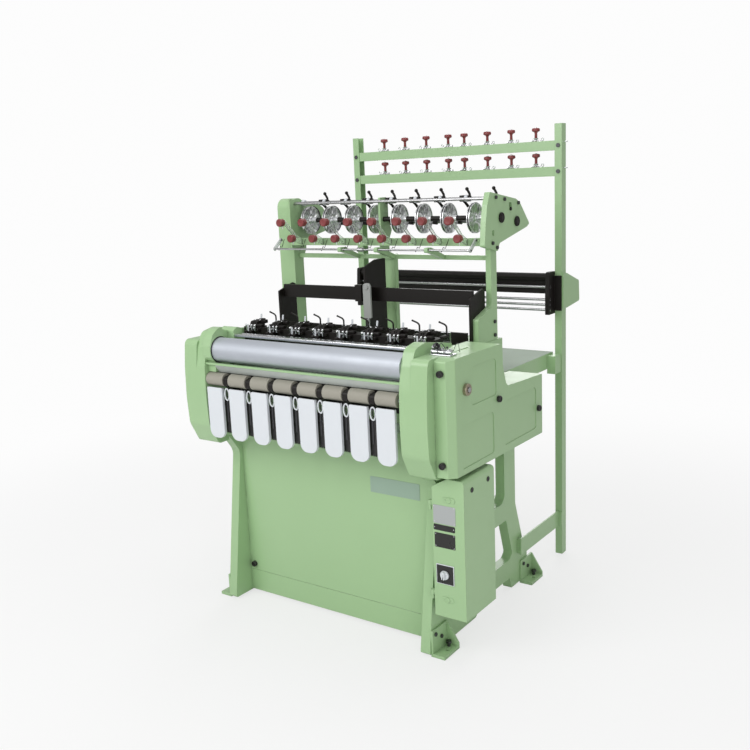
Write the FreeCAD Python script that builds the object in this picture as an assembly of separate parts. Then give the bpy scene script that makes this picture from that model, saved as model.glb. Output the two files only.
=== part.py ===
import FreeCAD, Part
import math
import os

# Eight-head needle loom for narrow tapes, in millimetres, +Z up, +X to the operator's right.
# While a piece is built, y is the depth behind the front of the front legs. Each finished piece
# is then moved so that y = 0 lies midway between the front and rear anchor holes of the feet.

os.makedirs("parts", exist_ok=True)

V = FreeCAD.Vector

# ---- Driving dimensions ----------------------------------------------------------------------
HEADS = 8                    # tapes woven side by side
HEAD_PITCH = 115.5           # distance between two heads
INNER_X = 457.0              # half the clear width between the side frames
FRAME_T = 40.0               # width of a side frame casting
HOUSING_W = 70.0             # how far the front housings stand out past the frames
COVER_W = 70.0               # how far the right cover stands out past its housing
FRAME_TOP_Z = 1080.0         # top of the side frames
FRAME_FRONT_Y = 30.0         # upper front edge of the side frames
FRAME_REAR_Y = 603.0         # upper rear edge of the side frames
FRAME_BASE_Z = 8.0           # underside of the side frames
TABLE_Z = 938.0              # top of the rear table
TABLE_REAR_Y = 1087.0        # rear edge of the table
POST_FRONT_Y = 1088.0        # front of the creel posts
POST_TOP_Z = 1900.0          # top of the creel posts
FRONT_FOOT_Y = 64.0          # depth of the front anchor holes
REAR_FOOT_Y = 784.0          # depth of the rear anchor holes
ANCHOR_X = 535.0             # half the distance between left and right anchor holes
ANCHOR_R = 7.0               # radius of an anchor hole

MID_FOOT_Y = (FRONT_FOOT_Y + REAR_FOOT_Y) / 2

# ---- Clearances and small sizes used by many pieces ------------------------------------------
RUN = 0.05                   # radial clearance of a shaft in its bore
SIDE = 0.5                   # gap beside a turning or swinging piece
GAP = 0.3                    # gap between covers that meet
SHEET = 3.0                  # thickness of folded sheet steel
BOLT_R = 4.0                 # radius of a frame bolt
BOLT_HEAD = 6.0              # height of a frame bolt's head
BOLT_BITE = 10.0             # how far a bolt goes into a casting
ROD_R = 6.0                  # radius of the chromed guide rods

# ---- Derived planes --------------------------------------------------------------------------
FRAME_X = INNER_X + FRAME_T
HOUSING_X = FRAME_X + HOUSING_W
COVER_X = HOUSING_X + COVER_W
HEAD_XS = [HEAD_PITCH * (i - (HEADS - 1) / 2) for i in range(HEADS)]
GAP_XS = [x + HEAD_PITCH / 2 for x in HEAD_XS[:-1]]
LANE_SHIFT = -8.0            # the tapes leave the front a little to the left of their heads
LANE_XS = [x + LANE_SHIFT for x in HEAD_XS]
LANE_GAP_XS = [x + LANE_SHIFT for x in GAP_XS]


# ---- Helpers ---------------------------------------------------------------------------------
def box(x0, x1, y0, y1, z0, z1):
    """Block between two corners."""
    return Part.makeBox(x1 - x0, y1 - y0, z1 - z0, V(x0, y0, z0))


def cyl_x(x0, x1, y, z, radius):
    """Round bar along X."""
    return Part.makeCylinder(radius, x1 - x0, V(x0, y, z), V(1, 0, 0))


def cyl_y(x, y0, y1, z, radius):
    """Round bar along Y."""
    return Part.makeCylinder(radius, y1 - y0, V(x, y0, z), V(0, 1, 0))


def cyl_z(x, y, z0, z1, radius):
    """Round bar along Z."""
    return Part.makeCylinder(radius, z1 - z0, V(x, y, z0), V(0, 0, 1))


def bar(start, end, radius):
    """Round bar between two points."""
    way = V(*end) - V(*start)
    return Part.makeCylinder(radius, way.Length, V(*start), way)


def face_through(points, place):
    """Face through points (a, b) or (a, b, corner radius), put in space by place(a, b)."""
    count = len(points)
    starts = []
    middles = []
    ends = []
    for i in range(count):
        here = V(points[i][0], points[i][1], 0)
        radius = points[i][2] if len(points[i]) > 2 else 0
        if radius == 0:
            starts.append(here)
            middles.append(None)
            ends.append(here)
            continue
        before = V(points[i - 1][0], points[i - 1][1], 0)
        after = V(points[(i + 1) % count][0], points[(i + 1) % count][1], 0)
        back = (before - here).normalize()
        ahead = (after - here).normalize()
        half = back.getAngle(ahead) / 2
        reach = radius / math.tan(half)
        inward = (back + ahead).normalize()
        starts.append(here + back * reach)
        middles.append(here + inward * (radius / math.sin(half) - radius))
        ends.append(here + ahead * reach)
    edges = []
    for i in range(count):
        if middles[i]:
            trio = [place(p.x, p.y) for p in (starts[i], middles[i], ends[i])]
            edges.append(Part.Arc(*trio).toShape())
        leave = ends[i]
        arrive = starts[(i + 1) % count]
        if (arrive - leave).Length > 0.01:
            edges.append(Part.makeLine(place(leave.x, leave.y), place(arrive.x, arrive.y)))
    return Part.Face(Part.Wire(edges))


def prism_x(x0, x1, points):
    """Outline in (y, z), drawn out along X."""
    return face_through(points, lambda a, b: V(x0, a, b)).extrude(V(x1 - x0, 0, 0))


def prism_y(y0, y1, points):
    """Outline in (x, z), drawn out along Y."""
    return face_through(points, lambda a, b: V(a, y0, b)).extrude(V(0, y1 - y0, 0))


def prism_z(z0, z1, points):
    """Outline in (x, y), drawn out along Z."""
    return face_through(points, lambda a, b: V(a, b, z0)).extrude(V(0, 0, z1 - z0))


def hexagon(radius):
    """Corner points of a hexagon with this radius to its corners."""
    turns = [math.radians(60 * i) for i in range(6)]
    return [(radius * math.cos(t), radius * math.sin(t)) for t in turns]


def bolt_x(x, y, z, way, radius=BOLT_R, head=BOLT_HEAD, bite=BOLT_BITE):
    """Hexagon bolt along X whose head stands on the plane x and points to way (+1 or -1)."""
    corners = [(y + a, z + b) for a, b in hexagon(radius * 1.9)]
    top = prism_x(min(x, x + way * head), max(x, x + way * head), corners)
    shank = cyl_x(min(x, x - way * bite), max(x, x - way * bite), y, z, radius)
    return top.fuse(shank)


def bolt_y(x, y, z, radius=BOLT_R, head=BOLT_HEAD, bite=BOLT_BITE):
    """Hexagon bolt along Y whose head stands in front of the plane y."""
    corners = [(x + a, z + b) for a, b in hexagon(radius * 1.9)]
    return prism_y(y - head, y, corners).fuse(cyl_y(x, y, y + bite, z, radius))


def bolt_hole_x(x0, x1, y, z, radius=BOLT_R):
    """Hole for a bolt along X."""
    return cyl_x(x0, x1, y, z, radius)


def mirrored(shape):
    """Copy on the other side of the machine."""
    return shape.mirror(V(0, 0, 0), V(1, 0, 0))


def both(shape):
    """A piece and its copy on the other side."""
    return [shape, mirrored(shape)]


def joined(shapes):
    """One solid out of several that meet."""
    whole = shapes[0]
    if len(shapes) > 1:
        whole = shapes[0].multiFuse(shapes[1:])
    return whole.removeSplitter()


def without(shape, cutters):
    """Shape less all the cutters."""
    return shape.cut(Part.makeCompound(cutters))


def save(name, shapes):
    """Write one node from one shape or a list of separate solids."""
    group = shapes if isinstance(shapes, list) else [shapes]
    node = Part.makeCompound(group) if len(group) > 1 else group[0]
    node.translate(V(0, -MID_FOOT_Y, 0))
    node.exportStep(os.path.join("parts", name + ".step"))
    print(name, len(node.Solids), node.isValid())


# ---- Shafts and their places -----------------------------------------------------------------
SHAFT_Y = 60.0               # main shaft
SHAFT_Z = 1001.0
SHAFT_R = 12.5
CRANK_R = 9.0                # stub for the hand crank
CRANK_OUT = 16.0             # how far the stub stands out of the cover
MOTOR_Y = 400.0              # motor shaft
MOTOR_Z = 830.0
MOTOR_SHAFT_R = 10.0
MOTOR_R = 75.0
MOTOR_LENGTH = 240.0
MOTOR_GAP = 12.0             # between the motor and the left frame
MAIN_PULLEY_R = 56.0
MOTOR_PULLEY_R = 38.0
PULLEY_W = 24.0
BELT_T = 5.0
BELT_W = 14.0
GROOVE = 3.0                 # depth of the belt's path in a pulley

ROLLER_Y = -21.0             # take-up roller
ROLLER_Z = 1079.0
ROLLER_R = 48.0
JOURNAL_R = 14.0
PRESS_Y = -48.0              # press rollers below it
PRESS_Z = 966.0
PRESS_R = 26.0
PRESS_SHAFT_R = 8.0
PRESS_LENGTH = 86.0          # length of one rubber sleeve

FEED_Y = 572.0               # shaft of the feeder discs
FEED_Z = 1545.0
FEED_R = 10.0
DISC_R = 58.0
DISC_T = 14.0
TIE_Y = 701.0                # tie rod behind the feeder shaft
TIE_Z = 1524.0
HIGH_ROD_Y = 592.0           # rear one of the two rods on top
HIGH_ROD_Z = 1619.0
LOW_ROD_Y = 540.0            # front one of the two rods on top
LOW_ROD_Z = 1618.0

NEEDLE_Y = 262.0             # rocking shaft of the weft needles
NEEDLE_Z = 1030.0
SLEY_Y = 330.0               # rocking shaft of the reeds
SLEY_Z = 960.0
ROCK_R = 11.0

STOP_Y = 440.0               # stop rod with its hand levers
STOP_Z = 1432.0
STOP_R = 4.0
STOP_X0 = -507.0             # left and right ends of the stop rod
STOP_X1 = 458.0
STOP_LEVER_T = 8.0

# Corners of a hand lever, (depth, height), measured from the stop rod.
STOP_LEVER = [(-11, 1), (-1, -11), (55, 33), (45, 46)]

# ---- Side frames -----------------------------------------------------------------------------
RAIL_TOP_Z = 400.0           # upper stretcher of a side frame
RAIL_LOW_Z = 320.0
BASE_TOP_Z = 138.0           # lower stretcher
BASE_LOW_Z = 57.0
LEG_REAR_Y = 800.0           # rear edge of the rear leg at its base
LEG_TOP_Y = 697.0            # rear edge of the rear leg where it is upright
WEB_Z = 740.0                # underside of the closed upper part
TABLE_SEAT_Z = 855.0         # where the table's side beam rests
LEG_BEND_Z = 369.0
FRONT_LEG_W = 150.0          # width of the front leg behind its slanting edge


def side_frame():
    """Casting on the right: two legs, two stretchers and a closed upper part."""
    outline = [(0, FRAME_BASE_Z, 8), (88, WEB_Z - 112, 60), (FRAME_FRONT_Y, WEB_Z - 30, 20),
               (FRAME_FRONT_Y, FRAME_TOP_Z, 8), (FRAME_REAR_Y, FRAME_TOP_Z),
               (FRAME_REAR_Y, TABLE_SEAT_Z), (LEG_TOP_Y, TABLE_SEAT_Z),
               (LEG_TOP_Y, LEG_BEND_Z, 60), (759, 192, 30), (LEG_REAR_Y, 115, 8),
               (LEG_REAR_Y, FRAME_BASE_Z, 6), (655, FRAME_BASE_Z), (640, BASE_LOW_Z, 8),
               (400, BASE_LOW_Z, 20), (345, FRAME_BASE_Z, 10)]
    blank = prism_x(INNER_X, FRAME_X, outline)
    front = FRONT_LEG_W + 40
    upper = [(front, RAIL_TOP_Z, 40), (front, WEB_Z, 40), (FRAME_REAR_Y, WEB_Z, 40),
             (FRAME_REAR_Y, RAIL_TOP_Z, 40)]
    lower = [(FRONT_LEG_W, BASE_TOP_Z, 30), (FRONT_LEG_W + 25, RAIL_LOW_Z, 20),
             (614, RAIL_LOW_Z, 8), (664, BASE_TOP_Z + 22, 14), (640, BASE_TOP_Z, 14)]
    cuts = [prism_x(INNER_X - 1, FRAME_X + 1, upper), prism_x(INNER_X - 1, FRAME_X + 1, lower)]
    return without(blank, cuts)


def frame_bores(side):
    """Bores for the shafts that run in both side frames; side is +1 or -1."""
    ends = sorted((side * (INNER_X - 1), side * (FRAME_X + 1)))
    places = [(SHAFT_Y, SHAFT_Z, SHAFT_R), (NEEDLE_Y, NEEDLE_Z, ROCK_R), (SLEY_Y, SLEY_Z, ROCK_R)]
    bores = [cyl_x(ends[0], ends[1], y, z, r + RUN) for y, z, r in places]
    if side < 0:
        bores.append(cyl_x(ends[0], ends[1], MOTOR_Y, MOTOR_Z, MOTOR_SHAFT_R + 4))
    return bores


# ---- Feet ------------------------------------------------------------------------------------
FOOT_LENGTH = 107.0
FOOT_OUT = 57.0              # how far a foot reaches out from the frame
FOOT_T = 12.0                # thickness of its base
FOOT_TOP = 100.0             # height of its rib and flange
FOOT_WALL = 8.0
FOOT_BACK = 53.0             # from the anchor hole to the rear end of the foot
LEVEL_X = 524.0
LEVEL_R = 6.0
LEVEL_BACK = 27.0            # from the anchor hole to the levelling screw
LEVEL_OUT = 22.0             # how far the screw stands above the base


def foot(hole_y):
    """Angle bracket on the right, with one sloping rib, an anchor hole and a tapped hole."""
    rear = hole_y + FOOT_BACK
    front = rear - FOOT_LENGTH
    out = FRAME_X + FOOT_OUT
    base = box(FRAME_X, out, front, rear, 0, FOOT_T)
    flange = box(FRAME_X, FRAME_X + FOOT_WALL, front, rear, 0, FOOT_TOP)
    slope = [(FRAME_X, 0), (FRAME_X, FOOT_TOP), (FRAME_X + FOOT_WALL, FOOT_TOP),
             (out, FOOT_T + 10), (out, 0)]
    rib = prism_y(rear - FOOT_WALL, rear, slope)
    cuts = [cyl_z(ANCHOR_X, hole_y, -1, FOOT_T + 1, ANCHOR_R),
            cyl_z(LEVEL_X, hole_y + LEVEL_BACK, -1, FOOT_T + 1, LEVEL_R)]
    cuts += [bolt_hole_x(FRAME_X, FRAME_X + FOOT_WALL, y, z) for y, z in foot_bolt_places(hole_y)]
    return without(joined([base, flange, rib]), cuts)


def foot_bolt_places(hole_y):
    """Depth and height of the two bolts that hold a foot."""
    return [(hole_y - 35, FOOT_TOP - 18), (hole_y + 5, FOOT_TOP - 42)]


def level_screw(hole_y):
    """Levelling screw with a hexagon head, its end flush with the base."""
    y = hole_y + LEVEL_BACK
    corners = [(LEVEL_X + a, y + b) for a, b in hexagon(LEVEL_R * 1.9)]
    head = prism_z(FOOT_T + LEVEL_OUT - 8, FOOT_T + LEVEL_OUT, corners)
    return joined([cyl_z(LEVEL_X, y, 0, FOOT_T + LEVEL_OUT - 8, LEVEL_R), head])


# ---- Front panel and cross members -----------------------------------------------------------
PANEL_Y = 103.0
PANEL_LOW_Z = 104.0
PANEL_TOP_Z = 719.0
STRETCHER_LOW_Z = 11.0
STRETCHER_D = 50.0
REAR_STRETCHER_Y = 610.0
BEAM_FRONT_Y = 0.0           # front cross beam that carries the chutes
BEAM_REAR_Y = 28.0
BEAM_LOW_Z = 724.0
BEAM_TOP_Z = 905.0
BEAM_WALL = 4.0
BED_T = 18.0                 # machine bed between the frames
BED_FRONT_Y = 150.0


def cross_channel(y0, depth, z0, z1):
    """Folded channel between the side frames, open to the rear."""
    outer = box(-INNER_X, INNER_X, y0, y0 + depth, z0, z1)
    inner = box(-INNER_X, INNER_X, y0 + SHEET, y0 + depth + 1, z0 + SHEET, z1 - SHEET)
    return outer.cut(inner)


def front_beam():
    """Box beam between the housings, just behind the chutes."""
    outer = box(-INNER_X, INNER_X, BEAM_FRONT_Y, BEAM_REAR_Y, BEAM_LOW_Z, BEAM_TOP_Z)
    inner = box(-INNER_X - 1, INNER_X + 1, BEAM_FRONT_Y + BEAM_WALL, BEAM_REAR_Y - BEAM_WALL,
                BEAM_LOW_Z + BEAM_WALL, BEAM_TOP_Z - BEAM_WALL)
    return outer.cut(inner)


def machine_bed():
    """Flat bed plate between the frames with a rib along the front and the rear."""
    low = FRAME_TOP_Z - BED_T
    plate = box(-INNER_X, INNER_X, BED_FRONT_Y, FRAME_REAR_Y, low, FRAME_TOP_Z)
    front_rib = box(-INNER_X, INNER_X, BED_FRONT_Y, BED_FRONT_Y + 12, low - 40, low)
    rear_rib = box(-INNER_X, INNER_X, FRAME_REAR_Y - 14, FRAME_REAR_Y, low - 90, low)
    slots = [box(x - 22, x + 22, SLEY_Y - 35, SLEY_Y + 35, low - 1, FRAME_TOP_Z + 1)
             for x in HEAD_XS]
    slots += [box(x + 4, x + 46, NEEDLE_Y - 35, NEEDLE_Y + 20, low - 1, FRAME_TOP_Z + 1)
              for x in HEAD_XS]
    return without(joined([plate, front_rib, rear_rib]), slots)


# ---- Housings and side covers ----------------------------------------------------------------
WALL = 4.0
HOUSING_FRONT_Y = -79.0      # foremost line of the front housings
HOUSING_REAR_Y = 207.0
HOUSING_LOW_Z = 692.0
HOUSING_TOP_Z = 1146.0
HOUSING_STEP_X = FRAME_X + WALL   # from here outwards a housing is lower
EAR_W = 40.0                 # how far the left ear stands in from its housing
BAR_SEAT_W = 72.0            # how far the seat of the guide bar stands in
COVER_TOP_Z = 1117.0
COVER_REAR_Z = 944.0
COVER_STEP_Y = 331.0
COVER_REAR_Y = 670.0
COVER_LOW_Z = 698.0
COVER_FRONT_Y = -30.0
PANEL_DEPTH = 2.5            # depth of the pressed panels in the right cover

# Pressed panels of the right cover: front and rear edge, then heights above the cover's underside.
COVER_PANELS = [(100, 281, 237, 372), (28, 259, 28, 182), (341, 607, 32, 198)]


def housing_profile(inset):
    """Side outline of a front housing, drawn in by the wall thickness."""
    front = HOUSING_FRONT_Y + inset
    low = HOUSING_LOW_Z + inset
    top = HOUSING_TOP_Z - inset
    rear = HOUSING_REAR_Y
    return [(rear, low), (front + 51, low, 20), (front + 6, low + 86, 60),
            (front, low + 196, 200), (front + 4, low + 316, 120), (front + 20, top - 55, 30),
            (front + 45, top, 34), (front + 109, top + 12, 60), (front + 176, top - 1, 60),
            (rear, top - 20)]


def shoulder_profile(inset):
    """Side outline of a housing's outer part, which ends level with the side cover."""
    front = HOUSING_FRONT_Y + inset
    low = HOUSING_LOW_Z + inset
    top = COVER_TOP_Z - inset
    rear = HOUSING_REAR_Y
    return [(rear, low), (front + 51, low, 20), (front + 6, low + 86, 60),
            (front, low + 196, 200), (front + 4, low + 316, 120), (front + 16, top, 24), (rear, top)]


def roller_ear():
    """Ear of the left housing, drawn on the right, round the gear end of the take-up roller."""
    y = ROLLER_Y
    z = ROLLER_Z
    low = PRESS_Z + PRESS_R + 3
    rear = y + ROLLER_R
    outline = [(y - 32, low), (y - 32, RAIL_Z + 6), (y - ROLLER_R - 6, z - 22, 16),
               (y - ROLLER_R - 8, z + 18, 30), (y - 38, z + 62, 30), (y - 4, z + ROLLER_R + 38, 26),
               (rear, z + ROLLER_R + 20), (rear, low)]
    return prism_x(INNER_X - EAR_W, INNER_X, outline)


def bar_seat():
    """Round-topped seat behind the ear for the left end of the guide bar, drawn on the right."""
    y0 = ROLLER_Y + ROLLER_R
    y1 = GUIDE_BAR_Y + GUIDE_BAR_W + 14
    low = GUIDE_BAR_Z - 26
    top = GUIDE_BAR_Z + GUIDE_BAR_H + 26
    outline = [(y0, low), (y0, top - 14, 8), (y0 + 21, top, 16), (y1, top - 10, 14), (y1, low, 10)]
    return prism_x(INNER_X - BAR_SEAT_W, INNER_X, outline)


def front_housing(side):
    """Cast shell with a bulging front, open behind, that houses the roller end on one side."""
    inner_wall = HOUSING_STEP_X + WALL
    parts = [prism_x(INNER_X, HOUSING_STEP_X, housing_profile(0)),
             prism_x(HOUSING_STEP_X, HOUSING_X, shoulder_profile(0))]
    if side < 0:
        parts += [roller_ear(), bar_seat()]
    hollow = prism_x(inner_wall, HOUSING_X - WALL, shoulder_profile(WALL))
    seat = box(INNER_X - 1, FRAME_X, FRAME_FRONT_Y, HOUSING_REAR_Y + 1, HOUSING_LOW_Z - 1,
               FRAME_TOP_Z)
    bore = cyl_x(INNER_X - EAR_W - 1, inner_wall + 1, ROLLER_Y, ROLLER_Z, JOURNAL_R + RUN)
    press = cyl_x(INNER_X - 1, inner_wall + 1, PRESS_Y, PRESS_Z, PRESS_SHAFT_R + RUN)
    through = HOUSING_X + 1 if side > 0 else inner_wall + 1
    main = cyl_x(FRAME_X - 1, through, SHAFT_Y, SHAFT_Z, SHAFT_R + 4)
    shell = without(joined(parts), [hollow, seat, bore, press, main])
    return shell if side > 0 else mirrored(shell)


def cover_profile(inset):
    """Side outline of a rear side cover with its step down to the rear."""
    low = COVER_LOW_Z + inset
    top = COVER_TOP_Z - inset
    step = COVER_STEP_Y - inset
    rear = COVER_REAR_Y - inset
    front = COVER_FRONT_Y + inset
    return [(front, low + 8), (front, top - 8, 6), (front + 37, top, 12), (step, top - 4, 14),
            (step + 4, top - 90, 60), (step + 30, COVER_REAR_Z + 6 - inset, 30),
            (rear, COVER_REAR_Z - 8 - inset, 12), (rear, low, 14)]


def right_plan(inset):
    """Plan of the right cover: a chamfered front corner and a step in round the housing."""
    out = COVER_X - inset
    front = COVER_FRONT_Y + inset
    near = HOUSING_X + GAP if inset == 0 else HOUSING_X - 20
    rear = COVER_REAR_Y - inset
    behind = HOUSING_REAR_Y + GAP if inset == 0 else HOUSING_REAR_Y - 20
    frame = FRAME_X + GAP if inset == 0 else FRAME_X - 20
    return [(near, front), (out - 24, front, 4), (out, front + 24, 6), (out, rear, 10),
            (frame, rear), (frame, behind), (near, behind)]


def right_cover():
    """Pressed steel cover on the right, open towards the frame, with three shallow panels."""
    tall = (COVER_LOW_Z - 60, COVER_TOP_Z + 60)
    outer = prism_z(tall[0], tall[1], right_plan(0)).common(
        prism_x(INNER_X, COVER_X + 1, cover_profile(0)))
    inner = prism_z(tall[0], tall[1], right_plan(WALL)).common(
        prism_x(INNER_X - 30, COVER_X + 1, cover_profile(WALL)))
    face = COVER_X - PANEL_DEPTH
    cuts = []
    for y0, y1, z0, z1 in COVER_PANELS:
        cuts.append(prism_x(face, COVER_X + 1, [(y0, COVER_LOW_Z + z0, 13), (y0, COVER_LOW_Z + z1, 20),
                                                (y1, COVER_LOW_Z + z1, 20), (y1, COVER_LOW_Z + z0, 13)]))
    cuts.append(cyl_x(COVER_X - WALL - 2, COVER_X + 2, SHAFT_Y, SHAFT_Z, SHAFT_R + 2))
    cuts += cover_knobs()
    return without(outer.cut(inner), cuts)


def left_cover():
    """Cover behind the left housing, open towards the frame and the housing."""
    outer = prism_x(-HOUSING_X, -FRAME_X - GAP, cover_profile(0))
    inner = prism_x(-HOUSING_X + WALL, -FRAME_X + 1, cover_profile(WALL))
    keep = box(-HOUSING_X - 1, -FRAME_X + 1, HOUSING_REAR_Y + GAP, COVER_REAR_Y + 1, COVER_LOW_Z - 1,
               COVER_TOP_Z + 1)
    return outer.cut(inner).common(keep)


KNOB_R = 12.0
KNOB_H = 16.0
FRONT_KNOBS = [(595.0, 1068.0), (595.0, 751.0)]      # (x, z) on the front of the right cover
SIDE_KNOBS = [(293.0, 917.0), (623.0, 807.0)]        # (y, z) on its outer side
PANEL_KNOB_X = -432.0                                # knob on the front panel
PANEL_KNOB_Z = 130.0


def knob_y(x, y, z):
    """Screw knob that faces forward; its stem goes back through the sheet."""
    knob = cyl_y(x, y - KNOB_H, y, z, KNOB_R)
    knob = knob.makeFillet(3, [knob.Edges[0]])
    return joined([knob, cyl_y(x, y, y + WALL + 2, z, KNOB_R / 3)])


def knob_x(x, y, z):
    """Screw knob that faces right; its stem goes through the sheet."""
    knob = cyl_x(x, x + KNOB_H * 0.8, y, z, KNOB_R)
    return joined([knob, cyl_x(x - WALL - 2, x, y, z, KNOB_R / 3)])


def cover_knobs():
    """Knobs of the right cover."""
    return ([knob_y(x, COVER_FRONT_Y, z) for x, z in FRONT_KNOBS]
            + [knob_x(COVER_X, y, z) for y, z in SIDE_KNOBS])


def panel_knob():
    """Knob of the front panel."""
    return knob_y(PANEL_KNOB_X, PANEL_Y, PANEL_KNOB_Z)


def front_panel():
    """Flat front panel between the frames."""
    sheet = box(-INNER_X, INNER_X, PANEL_Y, PANEL_Y + SHEET, PANEL_LOW_Z, PANEL_TOP_Z)
    return sheet.cut(panel_knob())


# ---- Control box -----------------------------------------------------------------------------
CBOX_X0 = 522.0
CBOX_W = 128.0
CBOX_Y0 = 11.0
CBOX_D = 216.0
CBOX_Z0 = 174.0
CBOX_Z1 = HOUSING_LOW_Z - 2.0
CBOX_SHEET = 2.0
DOOR_T = 3.0
HINGE_R = 4.0
HINGE_H = 18.0
HINGE_X = CBOX_X0 - 9.0
HINGE_Y = CBOX_Y0 - 1.0
BRACKET_Y = 90.0
SWITCH_X = 569.0
SWITCH_Z = 337.0
SWITCH_W = 66.0
SWITCH_H = 68.0
SWITCH_T = 4.0
DIAL_R = 17.0
DIAL_H = 18.0
SPINDLE_R = 4.0


def box_outline(inset):
    """Front outline of the control box with its sloping left shoulder."""
    left = CBOX_X0 + inset
    right = CBOX_X0 + CBOX_W - inset
    low = CBOX_Z0 + inset
    top = CBOX_Z1 - inset
    return [(left, low), (left, top - 34, 6), (left + 60, top, 20), (right, top, 14), (right, low)]


def control_box():
    """Sheet box on the right frame, open in front, with two brackets behind its left wall."""
    rear = CBOX_Y0 + CBOX_D
    shell = prism_y(CBOX_Y0, rear, box_outline(0)).cut(
        prism_y(CBOX_Y0 - 1, rear - CBOX_SHEET, box_outline(CBOX_SHEET)))
    brackets = [box(FRAME_X, CBOX_X0, BRACKET_Y, BRACKET_Y + 50, z, z + 40)
                for z in (CBOX_Z0 + 80, CBOX_Z1 - 180)]
    return joined([shell] + brackets + door_pins())


def hinge_heights():
    """Undersides of the two door hinges."""
    return (CBOX_Z0 + 60, CBOX_Z1 - 120)


def door_pins():
    """Hinge pins beside the left edge of the box, each on a leaf along its side."""
    pieces = []
    for z in hinge_heights():
        pin = cyl_z(HINGE_X, HINGE_Y, z, z + 2 * HINGE_H, HINGE_R)
        leaf = box(HINGE_X - 3, CBOX_X0, HINGE_Y + 2, CBOX_Y0 + 30, z, z + HINGE_H)
        pieces.append(joined([pin, leaf]))
    return pieces


def box_door():
    """Front door with two hinge barrels, the hole for the switch and two locks."""
    y1 = CBOX_Y0 - GAP
    leaf = prism_y(y1 - DOOR_T, y1, box_outline(0))
    barrels = []
    for z in hinge_heights():
        low = z + HINGE_H + GAP
        barrel = cyl_z(HINGE_X, HINGE_Y, low, z + 2 * HINGE_H, HINGE_R + 3)
        arm = box(HINGE_X, CBOX_X0 + 4, y1 - DOOR_T, y1, low, z + 2 * HINGE_H)
        barrels += [barrel, arm]
    locks = [cyl_y(CBOX_X0 + x, y1 - DOOR_T - 4, y1 - DOOR_T, z, 9)
             for x, z in ((68, CBOX_Z1 - 75), (54, CBOX_Z0 + 68))]
    cuts = [cyl_z(HINGE_X, HINGE_Y, z, z + 2 * HINGE_H + 1, HINGE_R + RUN) for z in hinge_heights()]
    cuts.append(cyl_y(SWITCH_X, y1 - DOOR_T - 1, y1 + 1, SWITCH_Z, SPINDLE_R + RUN))
    return without(joined([leaf] + barrels + locks), cuts)


def switch_plate():
    """Square plate of the main switch on the door."""
    y1 = CBOX_Y0 - GAP - DOOR_T
    plate = box(SWITCH_X - SWITCH_W / 2, SWITCH_X + SWITCH_W / 2, y1 - SWITCH_T, y1,
                SWITCH_Z - SWITCH_H / 2, SWITCH_Z + SWITCH_H / 2)
    return plate.cut(cyl_y(SWITCH_X, y1 - SWITCH_T - 1, y1 + 1, SWITCH_Z, SPINDLE_R + RUN))


def switch_dial():
    """White rotary dial with a grip bar, its spindle through the plate and the door."""
    face = CBOX_Y0 - GAP - DOOR_T - SWITCH_T - GAP
    disc = cyl_y(SWITCH_X, face - 8, face, SWITCH_Z, DIAL_R)
    grip = box(SWITCH_X - 5, SWITCH_X + 5, face - DIAL_H, face - 8, SWITCH_Z - DIAL_R + 2,
               SWITCH_Z + DIAL_R - 2)
    spindle = cyl_y(SWITCH_X, face, CBOX_Y0 + 6, SWITCH_Z, SPINDLE_R)
    return joined([disc, grip, spindle])


# ---- Front of the machine --------------------------------------------------------------------
CHUTE_W = 78.0
CHUTE_TOP_Z = 938.0
CHUTE_LOW_Z = 734.0
CHUTE_FRONT_Y = -75.0
CHUTE_D = 12.0
CHUTE_WALL = 3.0
SLAT_W = 30.0
SLAT_SHIFT = -8.0            # from the middle of a gap to its slat
SLAT_T = 8.0
SLAT_Y = -58.0
CARRIER_T = 22.0
RAIL_Y = -60.0
RAIL_Z = 1029.0
RAIL_W = 12.0
RAIL_H = 8.0
SHEET_T = 4.0                # thickness of the slanted sheet, measured upright
GUIDE_BAR_W = 32.0
GUIDE_BAR_H = 13.0
GUIDE_BAR_Y = ROLLER_Y + ROLLER_R + 3
GUIDE_BAR_Z = ROLLER_Z + ROLLER_R - 5


def chute_outline(x, inset):
    """Front outline of one chute, a shield with a round foot; its hollow is open above."""
    half = CHUTE_W / 2 - inset
    top = CHUTE_TOP_Z + 10 if inset else CHUTE_TOP_Z
    low = CHUTE_LOW_Z + inset
    return [(x - half, top, 6), (x - half, low, half * 0.8), (x + half, low, half * 0.8),
            (x + half, top, 6)]


def chute(x):
    """White moulded chute: a shield with a rim behind it and an arm back to the beam."""
    rear = CHUTE_FRONT_Y + CHUTE_D
    shell = prism_y(CHUTE_FRONT_Y, rear, chute_outline(x, 0)).cut(
        prism_y(CHUTE_FRONT_Y + CHUTE_WALL, rear + 1, chute_outline(x, CHUTE_WALL)))
    arm = box(x - 12, x + 12, CHUTE_FRONT_Y + CHUTE_WALL, BEAM_FRONT_Y, 840, 870)
    return joined([shell, arm])


def slat(x):
    """Black slat between two chutes with a toothed lower end and a foot on the beam."""
    low = CHUTE_LOW_Z + 20
    teeth = 4
    step = SLAT_W / teeth
    left = x - SLAT_W / 2
    points = [(left, CHUTE_TOP_Z - 50), (left, low)]
    for i in range(teeth):
        points.append((left + step * (i + 0.5), low + 8))
        points.append((left + step * (i + 1), low))
    points.append((left + SLAT_W, CHUTE_TOP_Z - 50))
    blade = prism_y(SLAT_Y, SLAT_Y + SLAT_T, points)
    foot_block = box(x - 8, x + 8, SLAT_Y + SLAT_T, BEAM_FRONT_Y, 790, 820)
    return joined([blade, foot_block])


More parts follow.
